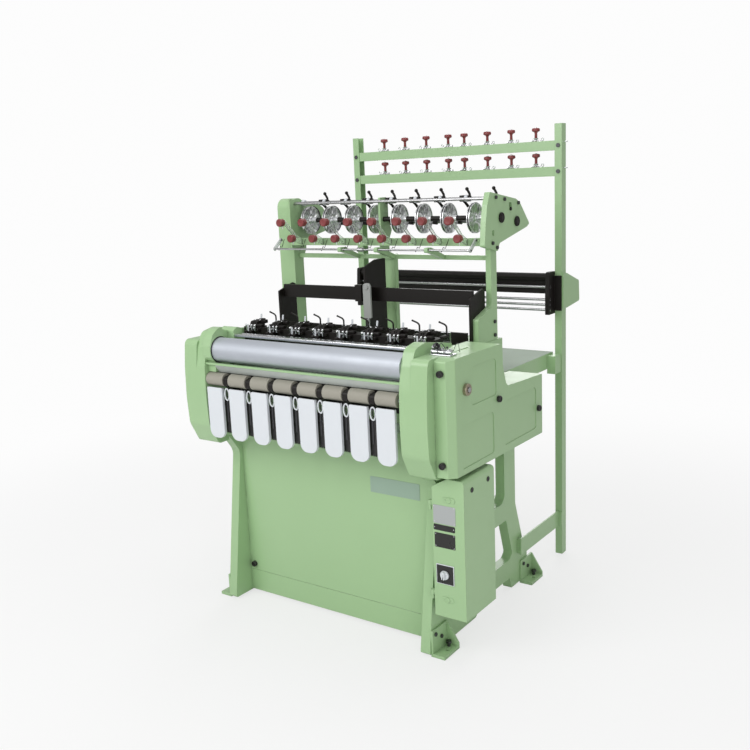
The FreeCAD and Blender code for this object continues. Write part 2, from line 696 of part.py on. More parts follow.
def ring_guide(x):
    """Clear ring that leads a tape down behind the gap between two chutes."""
    ring = Part.makeTorus(11, 2.5, V(x, SLAT_Y - 8, CHUTE_TOP_Z - 26), V(0, 1, 0))
    stem = cyl_y(x, SLAT_Y - 8, BEAM_FRONT_Y, CHUTE_TOP_Z - 40, 2.5)
    return joined([ring, stem])


def roller_carrier(x):
    """Black bearing block between two rubber sleeves, with an arm back to the beam."""
    outline = [(PRESS_Y - 22, PRESS_Z - 18, 8), (PRESS_Y - 22, PRESS_Z + 14, 14),
               (PRESS_Y + 8, PRESS_Z + 18, 10), (BEAM_FRONT_Y + 20, PRESS_Z - 24),
               (BEAM_FRONT_Y + 20, BEAM_TOP_Z), (BEAM_FRONT_Y, BEAM_TOP_Z)]
    block = prism_x(x - CARRIER_T / 2, x + CARRIER_T / 2, outline)
    bore = cyl_x(x - CARRIER_T, x + CARRIER_T, PRESS_Y, PRESS_Z, PRESS_SHAFT_R + RUN)
    return block.cut(bore)


def take_up_roller():
    """Large chromed roller with a journal at each end."""
    barrel = cyl_x(-INNER_X + EAR_W + SIDE, INNER_X - SIDE, ROLLER_Y, ROLLER_Z, ROLLER_R)
    end = HOUSING_STEP_X + WALL + 2
    journals = cyl_x(-end, end, ROLLER_Y, ROLLER_Z, JOURNAL_R)
    return joined([barrel, journals])


def press_shaft():
    """Plain shaft through all the rubber sleeves."""
    end = HOUSING_STEP_X + WALL + 2
    return cyl_x(-end, end, PRESS_Y, PRESS_Z, PRESS_SHAFT_R)


def press_sleeves():
    """Rubber sleeves on the press shaft, one for each head."""
    half = PRESS_LENGTH / 2
    return [cyl_x(x - half, x + half, PRESS_Y, PRESS_Z, PRESS_R).cut(
        cyl_x(x - half - 1, x + half + 1, PRESS_Y, PRESS_Z, PRESS_SHAFT_R)) for x in LANE_XS]


def guide_bar():
    """Bright flat bar above the roller, with round edges, from its seat to the right housing."""
    y0 = GUIDE_BAR_Y
    y1 = y0 + GUIDE_BAR_W
    z0 = GUIDE_BAR_Z
    z1 = z0 + GUIDE_BAR_H
    outline = [(y0, z0, 4), (y0, z1, 4), (y1, z1, 4), (y1, z0, 4)]
    return prism_x(-INNER_X + BAR_SEAT_W, INNER_X, outline)


def roller_rail():
    """Slim painted rail under the roller."""
    return box(-INNER_X, INNER_X, RAIL_Y - RAIL_W / 2, RAIL_Y + RAIL_W / 2, RAIL_Z - RAIL_H / 2,
               RAIL_Z + RAIL_H / 2)


def slanted_sheet():
    """Thin sheet that slopes down and back from the rail above the press rollers."""
    under = RAIL_Z - RAIL_H / 2
    end_y = PRESS_Y + 12
    end_z = PRESS_Z + PRESS_R
    outline = [(RAIL_Y, under), (RAIL_Y + SHEET_T, under), (end_y, end_z + SHEET_T), (end_y, end_z)]
    return prism_x(-INNER_X + EAR_W + SIDE, INNER_X, outline)


# ---- Head row --------------------------------------------------------------------------------
HEAD_BEAM_Y0 = 165.0
HEAD_BEAM_Y1 = 222.0
HEAD_BEAM_Z = 1140.0
BLOCK_W = 46.0
BLOCK_H = 26.0
NOSE_Z = HEAD_BEAM_Z - 10    # top of the nose in front of a head block
LEVER_R = 3.5
LEVER_SHIFT = 58.0           # from a head's plane to its bent lever
LEVER_BACK = 18.0            # how far the lever stands behind the beam
NEEDLE_OUT = 38.0            # how far the needle arms reach above the bed
REED_LOW_Z = FRAME_TOP_Z + 20
REED_H = 40.0
REED_W = 40.0
REED_RIM = 4.0
REED_SLITS = 9


def head_beam():
    """Black beam across the bed that carries the weaving heads."""
    return box(-INNER_X, INNER_X, HEAD_BEAM_Y0, HEAD_BEAM_Y1, FRAME_TOP_Z, HEAD_BEAM_Z)


def head_block(x):
    """Reed holder and guide block of one head, with a raised rear and a nose to the front."""
    outline = [(HEAD_BEAM_Y0 - 34, HEAD_BEAM_Z - 22), (HEAD_BEAM_Y0 - 34, NOSE_Z, 4),
               (HEAD_BEAM_Y0 - 8, NOSE_Z), (HEAD_BEAM_Y0 + 12, HEAD_BEAM_Z + BLOCK_H, 4),
               (HEAD_BEAM_Y1, HEAD_BEAM_Z + BLOCK_H, 4), (HEAD_BEAM_Y1, HEAD_BEAM_Z),
               (HEAD_BEAM_Y0, HEAD_BEAM_Z), (HEAD_BEAM_Y0, HEAD_BEAM_Z - 22)]
    return prism_x(x - BLOCK_W / 2, x + BLOCK_W / 2 - 10, outline)


def tape_guide(x):
    """Bright pins in front of one head: two upright pins with a ball on the left one."""
    y = HEAD_BEAM_Y0 - 22
    left = cyl_z(x - 12, y, NOSE_Z, NOSE_Z + 22, 3)
    ball = Part.makeSphere(6, V(x - 12, y, NOSE_Z + 24))
    right = cyl_z(x + 6, y, NOSE_Z, NOSE_Z + 30, 3)
    return [joined([left, ball]), right]


def bent_lever(x):
    """Black wire lever that rises from the beam and bends to the left."""
    y = HEAD_BEAM_Y1 + LEVER_BACK
    foot_x = x + LEVER_SHIFT
    top = HEAD_BEAM_Z + 44
    clip = box(x, foot_x - 5, HEAD_BEAM_Y1 - 18, HEAD_BEAM_Y1 - 6, HEAD_BEAM_Z, HEAD_BEAM_Z + 8)
    strap = box(foot_x - 5, foot_x + 5, HEAD_BEAM_Y1 - 18, y + 6, HEAD_BEAM_Z, HEAD_BEAM_Z + 8)
    upright = cyl_z(foot_x, y, HEAD_BEAM_Z, top, LEVER_R)
    elbow = Part.makeSphere(LEVER_R, V(foot_x, y, top))
    arm = bar((foot_x, y, top), (foot_x - 30, y, top + 9), LEVER_R)
    tip = Part.makeSphere(LEVER_R * 1.4, V(foot_x - 30, y, top + 9))
    return joined([clip, strap, upright, elbow, arm, tip])


def thread_tag(x):
    """Small upright leaf on the rear of the head block."""
    y = HEAD_BEAM_Y1 - 10
    return box(x + 4, x + 10, y - 12, y, HEAD_BEAM_Z + BLOCK_H - 1, HEAD_BEAM_Z + BLOCK_H + 24)


def needle_unit():
    """Rocking shaft with one curved weft needle arm for each head."""
    pieces = [cyl_x(-FRAME_X, FRAME_X, NEEDLE_Y, NEEDLE_Z, ROCK_R)]
    for x in HEAD_XS:
        hub = cyl_x(x + 14, x + 36, NEEDLE_Y, NEEDLE_Z, ROCK_R + 7)
        top = FRAME_TOP_Z + NEEDLE_OUT
        arm = prism_x(x + 21, x + 29, [(NEEDLE_Y - 12, NEEDLE_Z), (NEEDLE_Y - 26, top - 6, 4),
                                       (NEEDLE_Y - 14, top, 4), (NEEDLE_Y + 12, NEEDLE_Z)])
        pieces += [hub, arm]
    return joined(pieces)


def sley_unit():
    """Rocking shaft with one reed on two short arms for each head."""
    pieces = [cyl_x(-FRAME_X, FRAME_X, SLEY_Y, SLEY_Z, ROCK_R)]
    for x in HEAD_XS:
        hub = cyl_x(x - 16, x + 16, SLEY_Y, SLEY_Z, ROCK_R + 8)
        arm = box(x - 12, x + 12, SLEY_Y - 7, SLEY_Y + 7, SLEY_Z, REED_LOW_Z)
        pieces += [hub, arm]
    return joined(pieces)


def reed(x):
    """Framed reed of one head with its row of dents, open between them."""
    low = REED_LOW_Z
    top = low + REED_H
    left = x - REED_W / 2
    frame = box(left, left + REED_W, SLEY_Y - 5, SLEY_Y + 5, low, top)
    pitch = (REED_W - 2 * REED_RIM) / REED_SLITS
    starts = [left + REED_RIM + pitch * i for i in range(REED_SLITS)]
    slits = [box(x0, x0 + pitch / 2, SLEY_Y - 6, SLEY_Y + 6, low + 6, top - 6) for x0 in starts]
    return without(frame, slits)


# ---- Harness stand behind the heads ----------------------------------------------------------
UPRIGHT_X = 470.0            # inner faces of the rear uprights
UPRIGHT_W = 23.0
UPRIGHT_FRONT_Y = 528.0
UPRIGHT_REAR_Y = 590.0
RIGHT_REAR_Y = 572.0         # the right upright is slimmer than the left one
UPRIGHT_TOP_Z = 1440.0
PLATE_T = 8.0
PLATE_FRONT_Y = 405.0        # front of the harness plates at the sides
PLATE_REAR_Y = 517.0
PLATE_TOP_Z = FRAME_TOP_Z + 203
CENTRE_TOP_Z = FRAME_TOP_Z + 311
HARNESS_BEAM_Y = 435.0
HARNESS_BEAM_T = 12.0
HARNESS_BEAM_LOW_Z = FRAME_TOP_Z + 148
HARNESS_BEAM_TOP_Z = HARNESS_BEAM_LOW_Z + 54
LOWER_BEAM_Y = 395.0
LOWER_BEAM_T = 10.0
LOWER_BEAM_TOP_Z = FRAME_TOP_Z + 48
CENTRE_FRONT_Y = PLATE_FRONT_Y - 15
ARM_X0 = -4.0
ARM_X1 = 31.0
ARM_T = 9.0
ARM_LOW_Z = FRAME_TOP_Z + 85
ARM_TOP_Z = HARNESS_BEAM_TOP_Z + 23
STOP_BLOCK_X0 = -66.0        # black block on the beam, left of the centre plate
STOP_BLOCK_X1 = -34.0
SPRING_R = 8.0
SPRING_WIRE = 1.6
SPRING_TURNS = 14


def harness_plate():
    """Black side plate on the right with a sloping top, standing on the frame."""
    outline = [(PLATE_FRONT_Y, FRAME_TOP_Z), (PLATE_FRONT_Y, PLATE_TOP_Z - 27, 4),
               (PLATE_REAR_Y - 17, PLATE_TOP_Z, 8), (PLATE_REAR_Y, PLATE_TOP_Z - 9, 4),
               (PLATE_REAR_Y, FRAME_TOP_Z)]
    return prism_x(UPRIGHT_X - PLATE_T, UPRIGHT_X, outline)


def centre_plate():
    """Black middle plate, taller than the side ones, slotted for the two beams."""
    front = CENTRE_FRONT_Y
    rear = PLATE_REAR_Y + 18
    outline = [(front, FRAME_TOP_Z), (front, CENTRE_TOP_Z - 23, 4), (front + 77, CENTRE_TOP_Z, 10),
               (rear, CENTRE_TOP_Z, 6), (rear, FRAME_TOP_Z)]
    plate = prism_x(-PLATE_T / 2, PLATE_T / 2, outline)
    slots = [box(-PLATE_T, PLATE_T, HARNESS_BEAM_Y, HARNESS_BEAM_Y + HARNESS_BEAM_T,
                 HARNESS_BEAM_LOW_Z, HARNESS_BEAM_TOP_Z),
             box(-PLATE_T, PLATE_T, front - 1, LOWER_BEAM_Y + LOWER_BEAM_T, FRAME_TOP_Z - 1,
                 LOWER_BEAM_TOP_Z)]
    return without(plate, slots)


def harness_beam():
    """Black beam between the side plates."""
    end = UPRIGHT_X - PLATE_T
    return box(-end, end, HARNESS_BEAM_Y, HARNESS_BEAM_Y + HARNESS_BEAM_T,
               HARNESS_BEAM_LOW_Z, HARNESS_BEAM_TOP_Z)


def lower_beam():
    """Lower black beam on the bed, in front of the plates."""
    return box(-INNER_X, INNER_X, LOWER_BEAM_Y, LOWER_BEAM_Y + LOWER_BEAM_T, FRAME_TOP_Z,
               LOWER_BEAM_TOP_Z)


def spring_arm():
    """Grey arm with a round top on the front edge of the centre plate."""
    width = ARM_X1 - ARM_X0
    outline = [(ARM_X0, ARM_LOW_Z, 4), (ARM_X0, ARM_TOP_Z, width * 0.45),
               (ARM_X1, ARM_TOP_Z, width * 0.45), (ARM_X1, ARM_LOW_Z, 4)]
    arm = prism_y(CENTRE_FRONT_Y - ARM_T, CENTRE_FRONT_Y, outline)
    bolt = bolt_y((ARM_X0 + ARM_X1) / 2, CENTRE_FRONT_Y - ARM_T, ARM_TOP_Z - 16, 5, 5, 2)
    return joined([arm, bolt])


def arm_block():
    """Small black block on the front of the beam."""
    return box(STOP_BLOCK_X0, STOP_BLOCK_X1, HARNESS_BEAM_Y - 24, HARNESS_BEAM_Y,
               HARNESS_BEAM_LOW_Z - 2, HARNESS_BEAM_TOP_Z + 11)


def harness_spring():
    """Pull spring from the arm down to the bed, wound from one wire."""
    x = (ARM_X0 + ARM_X1) / 2
    y = CENTRE_FRONT_Y - ARM_T / 2
    low = FRAME_TOP_Z
    height = ARM_LOW_Z - low
    pitch = (height - 2 * SPRING_WIRE) / SPRING_TURNS
    radius = SPRING_R - SPRING_WIRE
    helix = Part.makeHelix(pitch, pitch * SPRING_TURNS, radius)
    helix.translate(V(x, y, low + SPRING_WIRE))
    start = V(x + radius, y, low + SPRING_WIRE)
    circle = Part.Wire(Part.makeCircle(SPRING_WIRE, start, V(0, 1, 0)))
    return helix.makePipeShell([circle], True, True)


def right_upright():
    """Right rear upright with a wide foot on the frame."""
    foot_y = UPRIGHT_FRONT_Y - 108
    outline = [(foot_y, FRAME_TOP_Z), (RIGHT_REAR_Y, FRAME_TOP_Z), (RIGHT_REAR_Y, UPRIGHT_TOP_Z),
               (UPRIGHT_FRONT_Y, UPRIGHT_TOP_Z), (UPRIGHT_FRONT_Y, FRAME_TOP_Z + 132, 20),
               (foot_y, FRAME_TOP_Z + 96, 8)]
    return prism_x(UPRIGHT_X, UPRIGHT_X + UPRIGHT_W, outline)


DRIVE_W = 80.0               # width of the left upright, which houses the feeder belt
DRIVE_TOP_Z = 1640.0
DRIVE_WALL = 3.0
DRIVE_REAR_Y = 614.0
FEED_PULLEY_R = 26.0


def left_upright():
    """Left rear upright, a hollow box with a round top that covers the feeder belt."""
    low = COVER_REAR_Z + GAP
    bore = cyl_x(-UPRIGHT_X - DRIVE_WALL - 1, -UPRIGHT_X + 1, FEED_Y, FEED_Z, FEED_R + RUN)
    return without(drive_body(0, low), [drive_body(DRIVE_WALL, low + DRIVE_WALL), bore])


def drive_body(inset, low):
    """Block of the left upright, on the frame and, outside the frame, down to the side cover."""
    top = DRIVE_TOP_Z - inset
    outline = [(UPRIGHT_FRONT_Y + inset, low), (UPRIGHT_FRONT_Y + inset, top, 40),
               (DRIVE_REAR_Y - inset, top, 40), (DRIVE_REAR_Y - inset, UPRIGHT_TOP_Z - 20, 30),
               (UPRIGHT_REAR_Y - inset, UPRIGHT_TOP_Z - 60, 30), (UPRIGHT_REAR_Y - inset, low)]
    body = prism_x(-UPRIGHT_X - DRIVE_W + inset, -UPRIGHT_X - inset, outline)
    frame = box(-FRAME_X - GAP - inset, -UPRIGHT_X + 1, UPRIGHT_FRONT_Y - 1, UPRIGHT_REAR_Y + 1,
                low - 1, FRAME_TOP_Z + inset)
    return body.cut(frame)


def centre_upright():
    """Slim middle upright from the bed to the low bar."""
    y0 = LOW_BAR_Y + LOW_BAR_T
    return box(-24, 24, y0, y0 + 25, FRAME_TOP_Z, LOW_BAR_TOP_Z)


# ---- Upper frame -----------------------------------------------------------------------------
TOP_PLATE_T = 22.0           # right side plate, outside its upright
LEFT_PLATE_T = 8.0           # left side plate, inside its upright
MID_BAR_Y = 505.0
MID_BAR_T = 15.0
MID_BAR_LOW_Z = 1443.0
MID_BAR_TOP_Z = 1473.0
LOW_BAR_Y = 560.0
LOW_BAR_T = 15.0
LOW_BAR_LOW_Z = 1385.0
LOW_BAR_TOP_Z = 1403.0
RIGHT_PLATE_X = UPRIGHT_X + UPRIGHT_W
LEFT_PLATE_X = -UPRIGHT_X + LEFT_PLATE_T

# Corners of a side plate, (depth, height, radius), measured from the feeder shaft.
PLATE_CORNERS = [(-85, 98, 6), (127, 65, 6), (161, 50, 10), (244, -36, 6), (221, -48, 10),
                 (-12, -94, 14), (-29, -123, 5), (-131, -99, 6), (-120, -9, 30), (-106, 52, 20)]


LEFT_PLATE_FRONT = -65       # front edge of the left plate, measured from the feeder shaft


def top_plate(x0, thickness):
    """Side plate of the upper frame, drawn from its left face x0."""
    outline = [(FEED_Y + a, FEED_Z + b, r) for a, b, r in PLATE_CORNERS]
    plate = prism_x(x0, x0 + thickness, outline)
    x1 = x0 + thickness + 1
    square = box(x0 - 1, x1, FEED_Y + 68, FEED_Y + 90, FEED_Z + 35, FEED_Z + 53)
    slot_y = FEED_Y - 72
    slot_z = FEED_Z - 65
    slot = prism_x(x0 - 1, x1, [(slot_y, slot_z, 8), (slot_y, slot_z + 23, 8),
                                (slot_y + 17, slot_z + 23, 8), (slot_y + 17, slot_z, 8)])
    holes = [cyl_x(x0 - 1, x1, FEED_Y, FEED_Z, FEED_R + RUN),
             cyl_x(x0 - 1, x1, TIE_Y, TIE_Z, ROD_R)]
    return without(plate, holes + [square, slot])


def left_top_plate():
    """Left side plate, like the right one behind a straight front edge."""
    front = FEED_Y + LEFT_PLATE_FRONT
    ahead = box(-UPRIGHT_X - 1, -UPRIGHT_X + LEFT_PLATE_T + 1, front - 200, front,
                FEED_Z - 200, FEED_Z + 200)
    return top_plate(-UPRIGHT_X, LEFT_PLATE_T).cut(ahead)


def top_rods():
    """Two chromed rods between the side plates, ending on their inner faces."""
    return [cyl_x(LEFT_PLATE_X, RIGHT_PLATE_X, HIGH_ROD_Y, HIGH_ROD_Z, ROD_R),
            cyl_x(LEFT_PLATE_X, RIGHT_PLATE_X, LOW_ROD_Y, LOW_ROD_Z, ROD_R)]


CLAMP_SHIFT = 52.0           # from a head's plane to its clamp
COLLAR_SHIFT = 53.0          # from a head's plane back to its collar
FINGER_SHIFT = 79.0          # from a head's plane to its finger ring
FINGER_RING_W = 8.0
CLAMP_TAIL_R = 6.0
FINGER_R = 5.0
COLLAR_R = 13.0


def arm_clamp(x):
    """Black clamp on the upper rod with a tail that points down and back."""
    y = HIGH_ROD_Y
    z = HIGH_ROD_Z
    block = box(x - 9, x + 9, y - 13, y + 13, z - 13, z + 13)
    tail = bar((x, y, z), (x + 8, y + 30, z - 34), CLAMP_TAIL_R)
    hole = cyl_x(x - 10, x + 10, y, z, ROD_R)
    return joined([block, tail]).cut(hole)


def rod_finger(x):
    """Black ring on the upper rod, drawn from its left face x, with a finger that leans left."""
    y = HIGH_ROD_Y
    z = HIGH_ROD_Z
    middle = x + FINGER_RING_W / 2
    ring = cyl_x(x, x + FINGER_RING_W, y, z, COLLAR_R - 1)
    foot = (middle, y, z + COLLAR_R + 5)
    tip = (middle - 9, y - 4, z + 36)
    finger = [bar((middle, y, z), foot, FINGER_R), Part.makeSphere(FINGER_R, V(*foot)),
              bar(foot, tip, FINGER_R), Part.makeSphere(FINGER_R + 2.5, V(*tip))]
    return joined([ring] + finger).cut(cyl_x(x - 1, x + FINGER_RING_W + 3, y, z, ROD_R))


def rod_collar(x):
    """White collar on the upper rod."""
    ring = cyl_x(x, x + 14, HIGH_ROD_Y, HIGH_ROD_Z, COLLAR_R)
    return ring.cut(cyl_x(x - 1, x + 15, HIGH_ROD_Y, HIGH_ROD_Z, ROD_R))


def feeder_shaft():
    """Black shaft of the feeder discs with its pulley inside the left upright."""
    shaft = cyl_x(-UPRIGHT_X - DRIVE_W + DRIVE_WALL + 4, RIGHT_PLATE_X + TOP_PLATE_T + 8,
                  FEED_Y, FEED_Z, FEED_R)
    pulley = cyl_x(-UPRIGHT_X - DRIVE_WALL - 24, -UPRIGHT_X - DRIVE_WALL - 4, FEED_Y, FEED_Z,
                   FEED_PULLEY_R)
    return joined([shaft, pulley])


DISC_SPOKES = 8


def feeder_disc(x):
    """Bright feeder disc with round windows and a hub, fixed on the shaft."""
    disc = cyl_x(x - DISC_T / 2, x + DISC_T / 2, FEED_Y, FEED_Z, DISC_R)
    hub = cyl_x(x - 11, x + 11, FEED_Y, FEED_Z, FEED_R + 8)
    windows = []
    for i in range(DISC_SPOKES):
        turn = 2 * math.pi * i / DISC_SPOKES
        windows.append(cyl_x(x - DISC_T, x + DISC_T, FEED_Y + DISC_R * 0.62 * math.cos(turn),
                             FEED_Z + DISC_R * 0.62 * math.sin(turn), DISC_R * 0.17))
    bore = cyl_x(x - 12, x + 12, FEED_Y, FEED_Z, FEED_R)
    return without(disc.fuse(hub), windows + [bore])


GUARD_BACK = 40.0
GUARD_T = 4.0


def disc_guard(x):
    """Black guard disc beside a feeder disc, set back on the tie rod."""
    face = x - 22
    y = FEED_Y + GUARD_BACK
    disc = cyl_x(face, face + GUARD_T, y, FEED_Z, DISC_R)
    tail = prism_x(face, face + GUARD_T, [(y, FEED_Z + 12), (TIE_Y + 10, TIE_Z + 12, 8),
                                          (TIE_Y + 10, TIE_Z - 12, 8), (y, FEED_Z - 20)])
    cuts = [cyl_x(face - 1, face + GUARD_T + 1, FEED_Y, FEED_Z, FEED_R + 4),
            cyl_x(face - 1, face + GUARD_T + 1, TIE_Y, TIE_Z, ROD_R)]
    return without(joined([disc, tail]), cuts)


def tie_rod():
    """Tie rod through both side plates, behind the feeder shaft."""
    return cyl_x(-UPRIGHT_X, RIGHT_PLATE_X + TOP_PLATE_T + 5, TIE_Y, TIE_Z, ROD_R)


def mid_bar():
    """Flat bar in front of the uprights between the side plates."""
    return box(LEFT_PLATE_X, RIGHT_PLATE_X, MID_BAR_Y, MID_BAR_Y + MID_BAR_T,
               MID_BAR_LOW_Z, MID_BAR_TOP_Z)


def low_bar():
    """Lower bar between the uprights, seated on the middle one."""
    return box(-UPRIGHT_X, UPRIGHT_X, LOW_BAR_Y, LOW_BAR_Y + LOW_BAR_T,
               LOW_BAR_LOW_Z, LOW_BAR_TOP_Z)


HANGER_X = -29.0             # left face of the strip that carries the upper rod
HANGER_T = 10.0
HANGER_FRONT_Y = 548.0
HANGER_REAR_Y = 605.0


def hanger():
    """Upright strip from the low bar up to the upper rod, round the feeder shaft."""
    x1 = HANGER_X + HANGER_T
    front = HANGER_FRONT_Y
    rear = HANGER_REAR_Y
    top = HIGH_ROD_Z + 14
    outline = [(front, LOW_BAR_TOP_Z), (front, top, 8), (rear, top, 16), (rear, FEED_Z - 10, 20),
               (rear + 24, FEED_Z - 45, 14), (rear, FEED_Z - 84, 20), (rear, LOW_BAR_TOP_Z)]
    strip = prism_x(HANGER_X, x1, outline)
    cuts = [cyl_x(HANGER_X - 1, x1 + 1, FEED_Y, FEED_Z, FEED_R + RUN),
            cyl_x(HANGER_X - 1, x1 + 1, HIGH_ROD_Y, HIGH_ROD_Z, ROD_R)]
    return without(strip, cuts)


# Depth of the rear face and height of the upper and the lower tension knobs.
KNOB_HIGH = (MID_BAR_Y - 119, MID_BAR_LOW_Z + 103)
KNOB_LOW = (MID_BAR_Y - 55, MID_BAR_LOW_Z + 33)
TENSION_R = 17.0
TENSION_H = 26.0
TENSION_T = 6.0


def tension_arm(x):
    """Clear arm on the mid bar that carries an upper and a lower tension knob."""
    high_y, high_z = KNOB_HIGH
    low_y, low_z = KNOB_LOW
    outline = [(MID_BAR_Y, MID_BAR_LOW_Z + 3), (MID_BAR_Y, MID_BAR_TOP_Z - 3),
               (low_y + 16, low_z + 14, 8), (high_y + 12, high_z + 10, 6), (high_y, high_z + 10),
               (high_y, high_z - 10), (high_y + 10, high_z - 10, 6), (low_y, low_z + 13),
               (low_y, low_z - 12)]
    return prism_x(x - TENSION_T / 2, x + TENSION_T / 2, outline)


def tension_knob(x, place):
    """Red knob with two tiers and a neck on the front of a tension arm."""
    y, z = place
    cap = cyl_y(x, y - TENSION_H, y - TENSION_H / 2, z, TENSION_R)
    cap = cap.makeFillet(3, [cap.Edges[0], cap.Edges[2]])
    tier = cyl_y(x, y - TENSION_H / 2, y - 5, z, TENSION_R * 0.86)
    return joined([cap, tier, cyl_y(x, y - 5, y, z, TENSION_R * 0.6)])


def stop_rod():
    """Rod that turns in three brackets, with a white hand lever at each end."""
    rod = cyl_x(STOP_X0, STOP_X1, STOP_Y, STOP_Z, STOP_R)
    outline = [(STOP_Y + a, STOP_Z + b, 7) for a, b in STOP_LEVER]
    levers = [prism_x(x0, x0 + STOP_LEVER_T, outline) for x0 in (STOP_X0, STOP_X1 - STOP_LEVER_T)]
    return joined([rod] + levers)


BRACKET_XS = (-150.0, 30.0, 265.0)


def rod_bracket(x):
    """Green bracket from the low bar up and forward to the stop rod."""
    outline = [(LOW_BAR_Y, LOW_BAR_LOW_Z), (LOW_BAR_Y, LOW_BAR_TOP_Z), (STOP_Y + 20, STOP_Z + 9),
               (STOP_Y - 10, STOP_Z + 9, 6), (STOP_Y - 10, STOP_Z - 9, 6), (STOP_Y + 14, STOP_Z - 12)]
    plate = prism_x(x - 8, x + 8, outline)
    return plate.cut(cyl_x(x - 9, x + 9, STOP_Y, STOP_Z, STOP_R + RUN))


# ---- Creel -----------------------------------------------------------------------------------
POST_X = 502.0
POST_W = 32.0
POST_D = 42.0
POST_LOW_Z = 5.0
BAR_H = 40.0
BAR_ZS = (POST_TOP_Z - 108, POST_TOP_Z - 214)   # undersides of the two creel bars
CAP_R = 17.0
CREEL_SHIFT_LEFT = 37.0      # the creel's tension units stand beside the heads' planes
CREEL_SHIFT_RIGHT = 4.0
EYE_OUT = 30.0               # from a unit's axis to its eye
EYE_R = 7.0
EYE_T = 3.5


def creel_post():
    """Right post, a channel that is open to the middle."""
    outer = box(POST_X, POST_X + POST_W, POST_FRONT_Y, POST_FRONT_Y + POST_D, POST_LOW_Z, POST_TOP_Z)
    inner = box(POST_X - 1, POST_X + POST_W - SHEET, POST_FRONT_Y + SHEET,
                POST_FRONT_Y + POST_D - SHEET, POST_LOW_Z - 1, POST_TOP_Z + 1)
    return outer.cut(inner)


def creel_bar(z):
    """Box bar whose ends sit in the channels of the posts."""
    end = POST_X + POST_W - SHEET
    y0 = POST_FRONT_Y + SHEET
    y1 = POST_FRONT_Y + POST_D - SHEET
    tube = box(-end, end, y0, y1, z, z + BAR_H)
    return tube.cut(box(-end - 1, end + 1, y0 + SHEET, y1 - SHEET, z + SHEET, z + BAR_H - SHEET))


def creel_places():
    """Place of each tension unit along a creel bar, and the side on which its eyelet stands."""
    places = []
    for x in HEAD_XS:
        shift = CREEL_SHIFT_LEFT if x < 0 else CREEL_SHIFT_RIGHT
        places.append((x + shift, -1 if x < 0 else 1))
    return places


def creel_knob(x, z):
    """Red cap on a stem that narrows to the bar."""
    y = POST_FRONT_Y + POST_D / 2
    cap = cyl_z(x, y, z + 40, z + 56, CAP_R)
    cap = cap.makeFillet(4, [cap.Edges[0], cap.Edges[2]])
    stem = cyl_z(x, y, z + 14, z + 41, 6)
    return joined([cap, stem])


def creel_base(x, z, side):
    """Steel base of a tension unit: two dished washers and an eye on its outer side."""
    y = POST_FRONT_Y + POST_D / 2
    lower = Part.makeCone(15, 8, 8, V(x, y, z))
    upper = Part.makeCone(8, 11, 6, V(x, y, z + 8))
    eye_x = x + side * EYE_OUT
    eye = cyl_y(eye_x, y - EYE_T / 2, y + EYE_T / 2, z + EYE_R, EYE_R).cut(
        cyl_y(eye_x, y - EYE_T, y + EYE_T, z + EYE_R, EYE_R / 2))
    ends = sorted((x, eye_x + side * EYE_R))
    plate = box(ends[0], ends[1], y - 6, y + 6, z, z + 1.5)
    return joined([lower, upper, eye, plate])


STRETCHER_Z = 138.0          # underside of the creel stretchers
STRETCHER_H = 72.0
STRETCHER_X = POST_X + 10.0


def creel_stretcher():
    """Stretcher on the right, low down, from a block on the rear leg to the post."""
    rail = box(STRETCHER_X, STRETCHER_X + 6, LEG_TOP_Y + 10, POST_FRONT_Y, STRETCHER_Z,
               STRETCHER_Z + STRETCHER_H)
    block = box(FRAME_X, STRETCHER_X, LEG_TOP_Y + 14, LEG_TOP_Y + 44, STRETCHER_Z + 4,
                STRETCHER_Z + STRETCHER_H - 5)
    foot_plate = box(STRETCHER_X + 6, POST_X + POST_W, POST_FRONT_Y - 5, POST_FRONT_Y,
                     STRETCHER_Z + 6, STRETCHER_Z + STRETCHER_H - 6)
    return joined([rail, block, foot_plate])


# ---- Rear guide unit on the posts ------------------------------------------------------------
UNIT_FRONT_Y = POST_FRONT_Y - 66
UNIT_X = 496.0
UNIT_LOW_Z = 1120.0
UNIT_TOP_Z = UNIT_LOW_Z + 170
DRUM_R = 16.0
DRUM_Y = UNIT_FRONT_Y + 30
DRUM_Z = UNIT_TOP_Z - 22
GUIDE_RODS = ((UNIT_FRONT_Y + 24, UNIT_TOP_Z - 64), (UNIT_FRONT_Y + 18, UNIT_LOW_Z + 52),
              (UNIT_FRONT_Y + 18, UNIT_LOW_Z + 30), (UNIT_FRONT_Y + 18, UNIT_LOW_Z + 8))


def unit_end():
    """Black end block on the right with bores for the drum and the rods."""
    outline = [(UNIT_FRONT_Y, UNIT_LOW_Z - 12, 6), (UNIT_FRONT_Y, UNIT_LOW_Z + 70, 10),
               (UNIT_FRONT_Y + 8, UNIT_TOP_Z, 10), (POST_FRONT_Y, UNIT_TOP_Z, 4),
               (POST_FRONT_Y, UNIT_LOW_Z - 12)]
    block = prism_x(UNIT_X - 10, UNIT_X + 6, outline)
    cuts = [cyl_x(UNIT_X - 11, UNIT_X + 7, y, z, ROD_R) for y, z in GUIDE_RODS]
    cuts.append(cyl_x(UNIT_X - 11, UNIT_X + 7, DRUM_Y, DRUM_Z, ROD_R + RUN))
    tab = box(UNIT_X + 6, POST_X + POST_W, POST_FRONT_Y - 6, POST_FRONT_Y, UNIT_LOW_Z, UNIT_TOP_Z - 20)
    return joined([without(block, cuts), tab])


def unit_rods():
    """Four bright rods between the end blocks."""
    return [cyl_x(-UNIT_X - 6, UNIT_X + 6, y, z, ROD_R) for y, z in GUIDE_RODS]


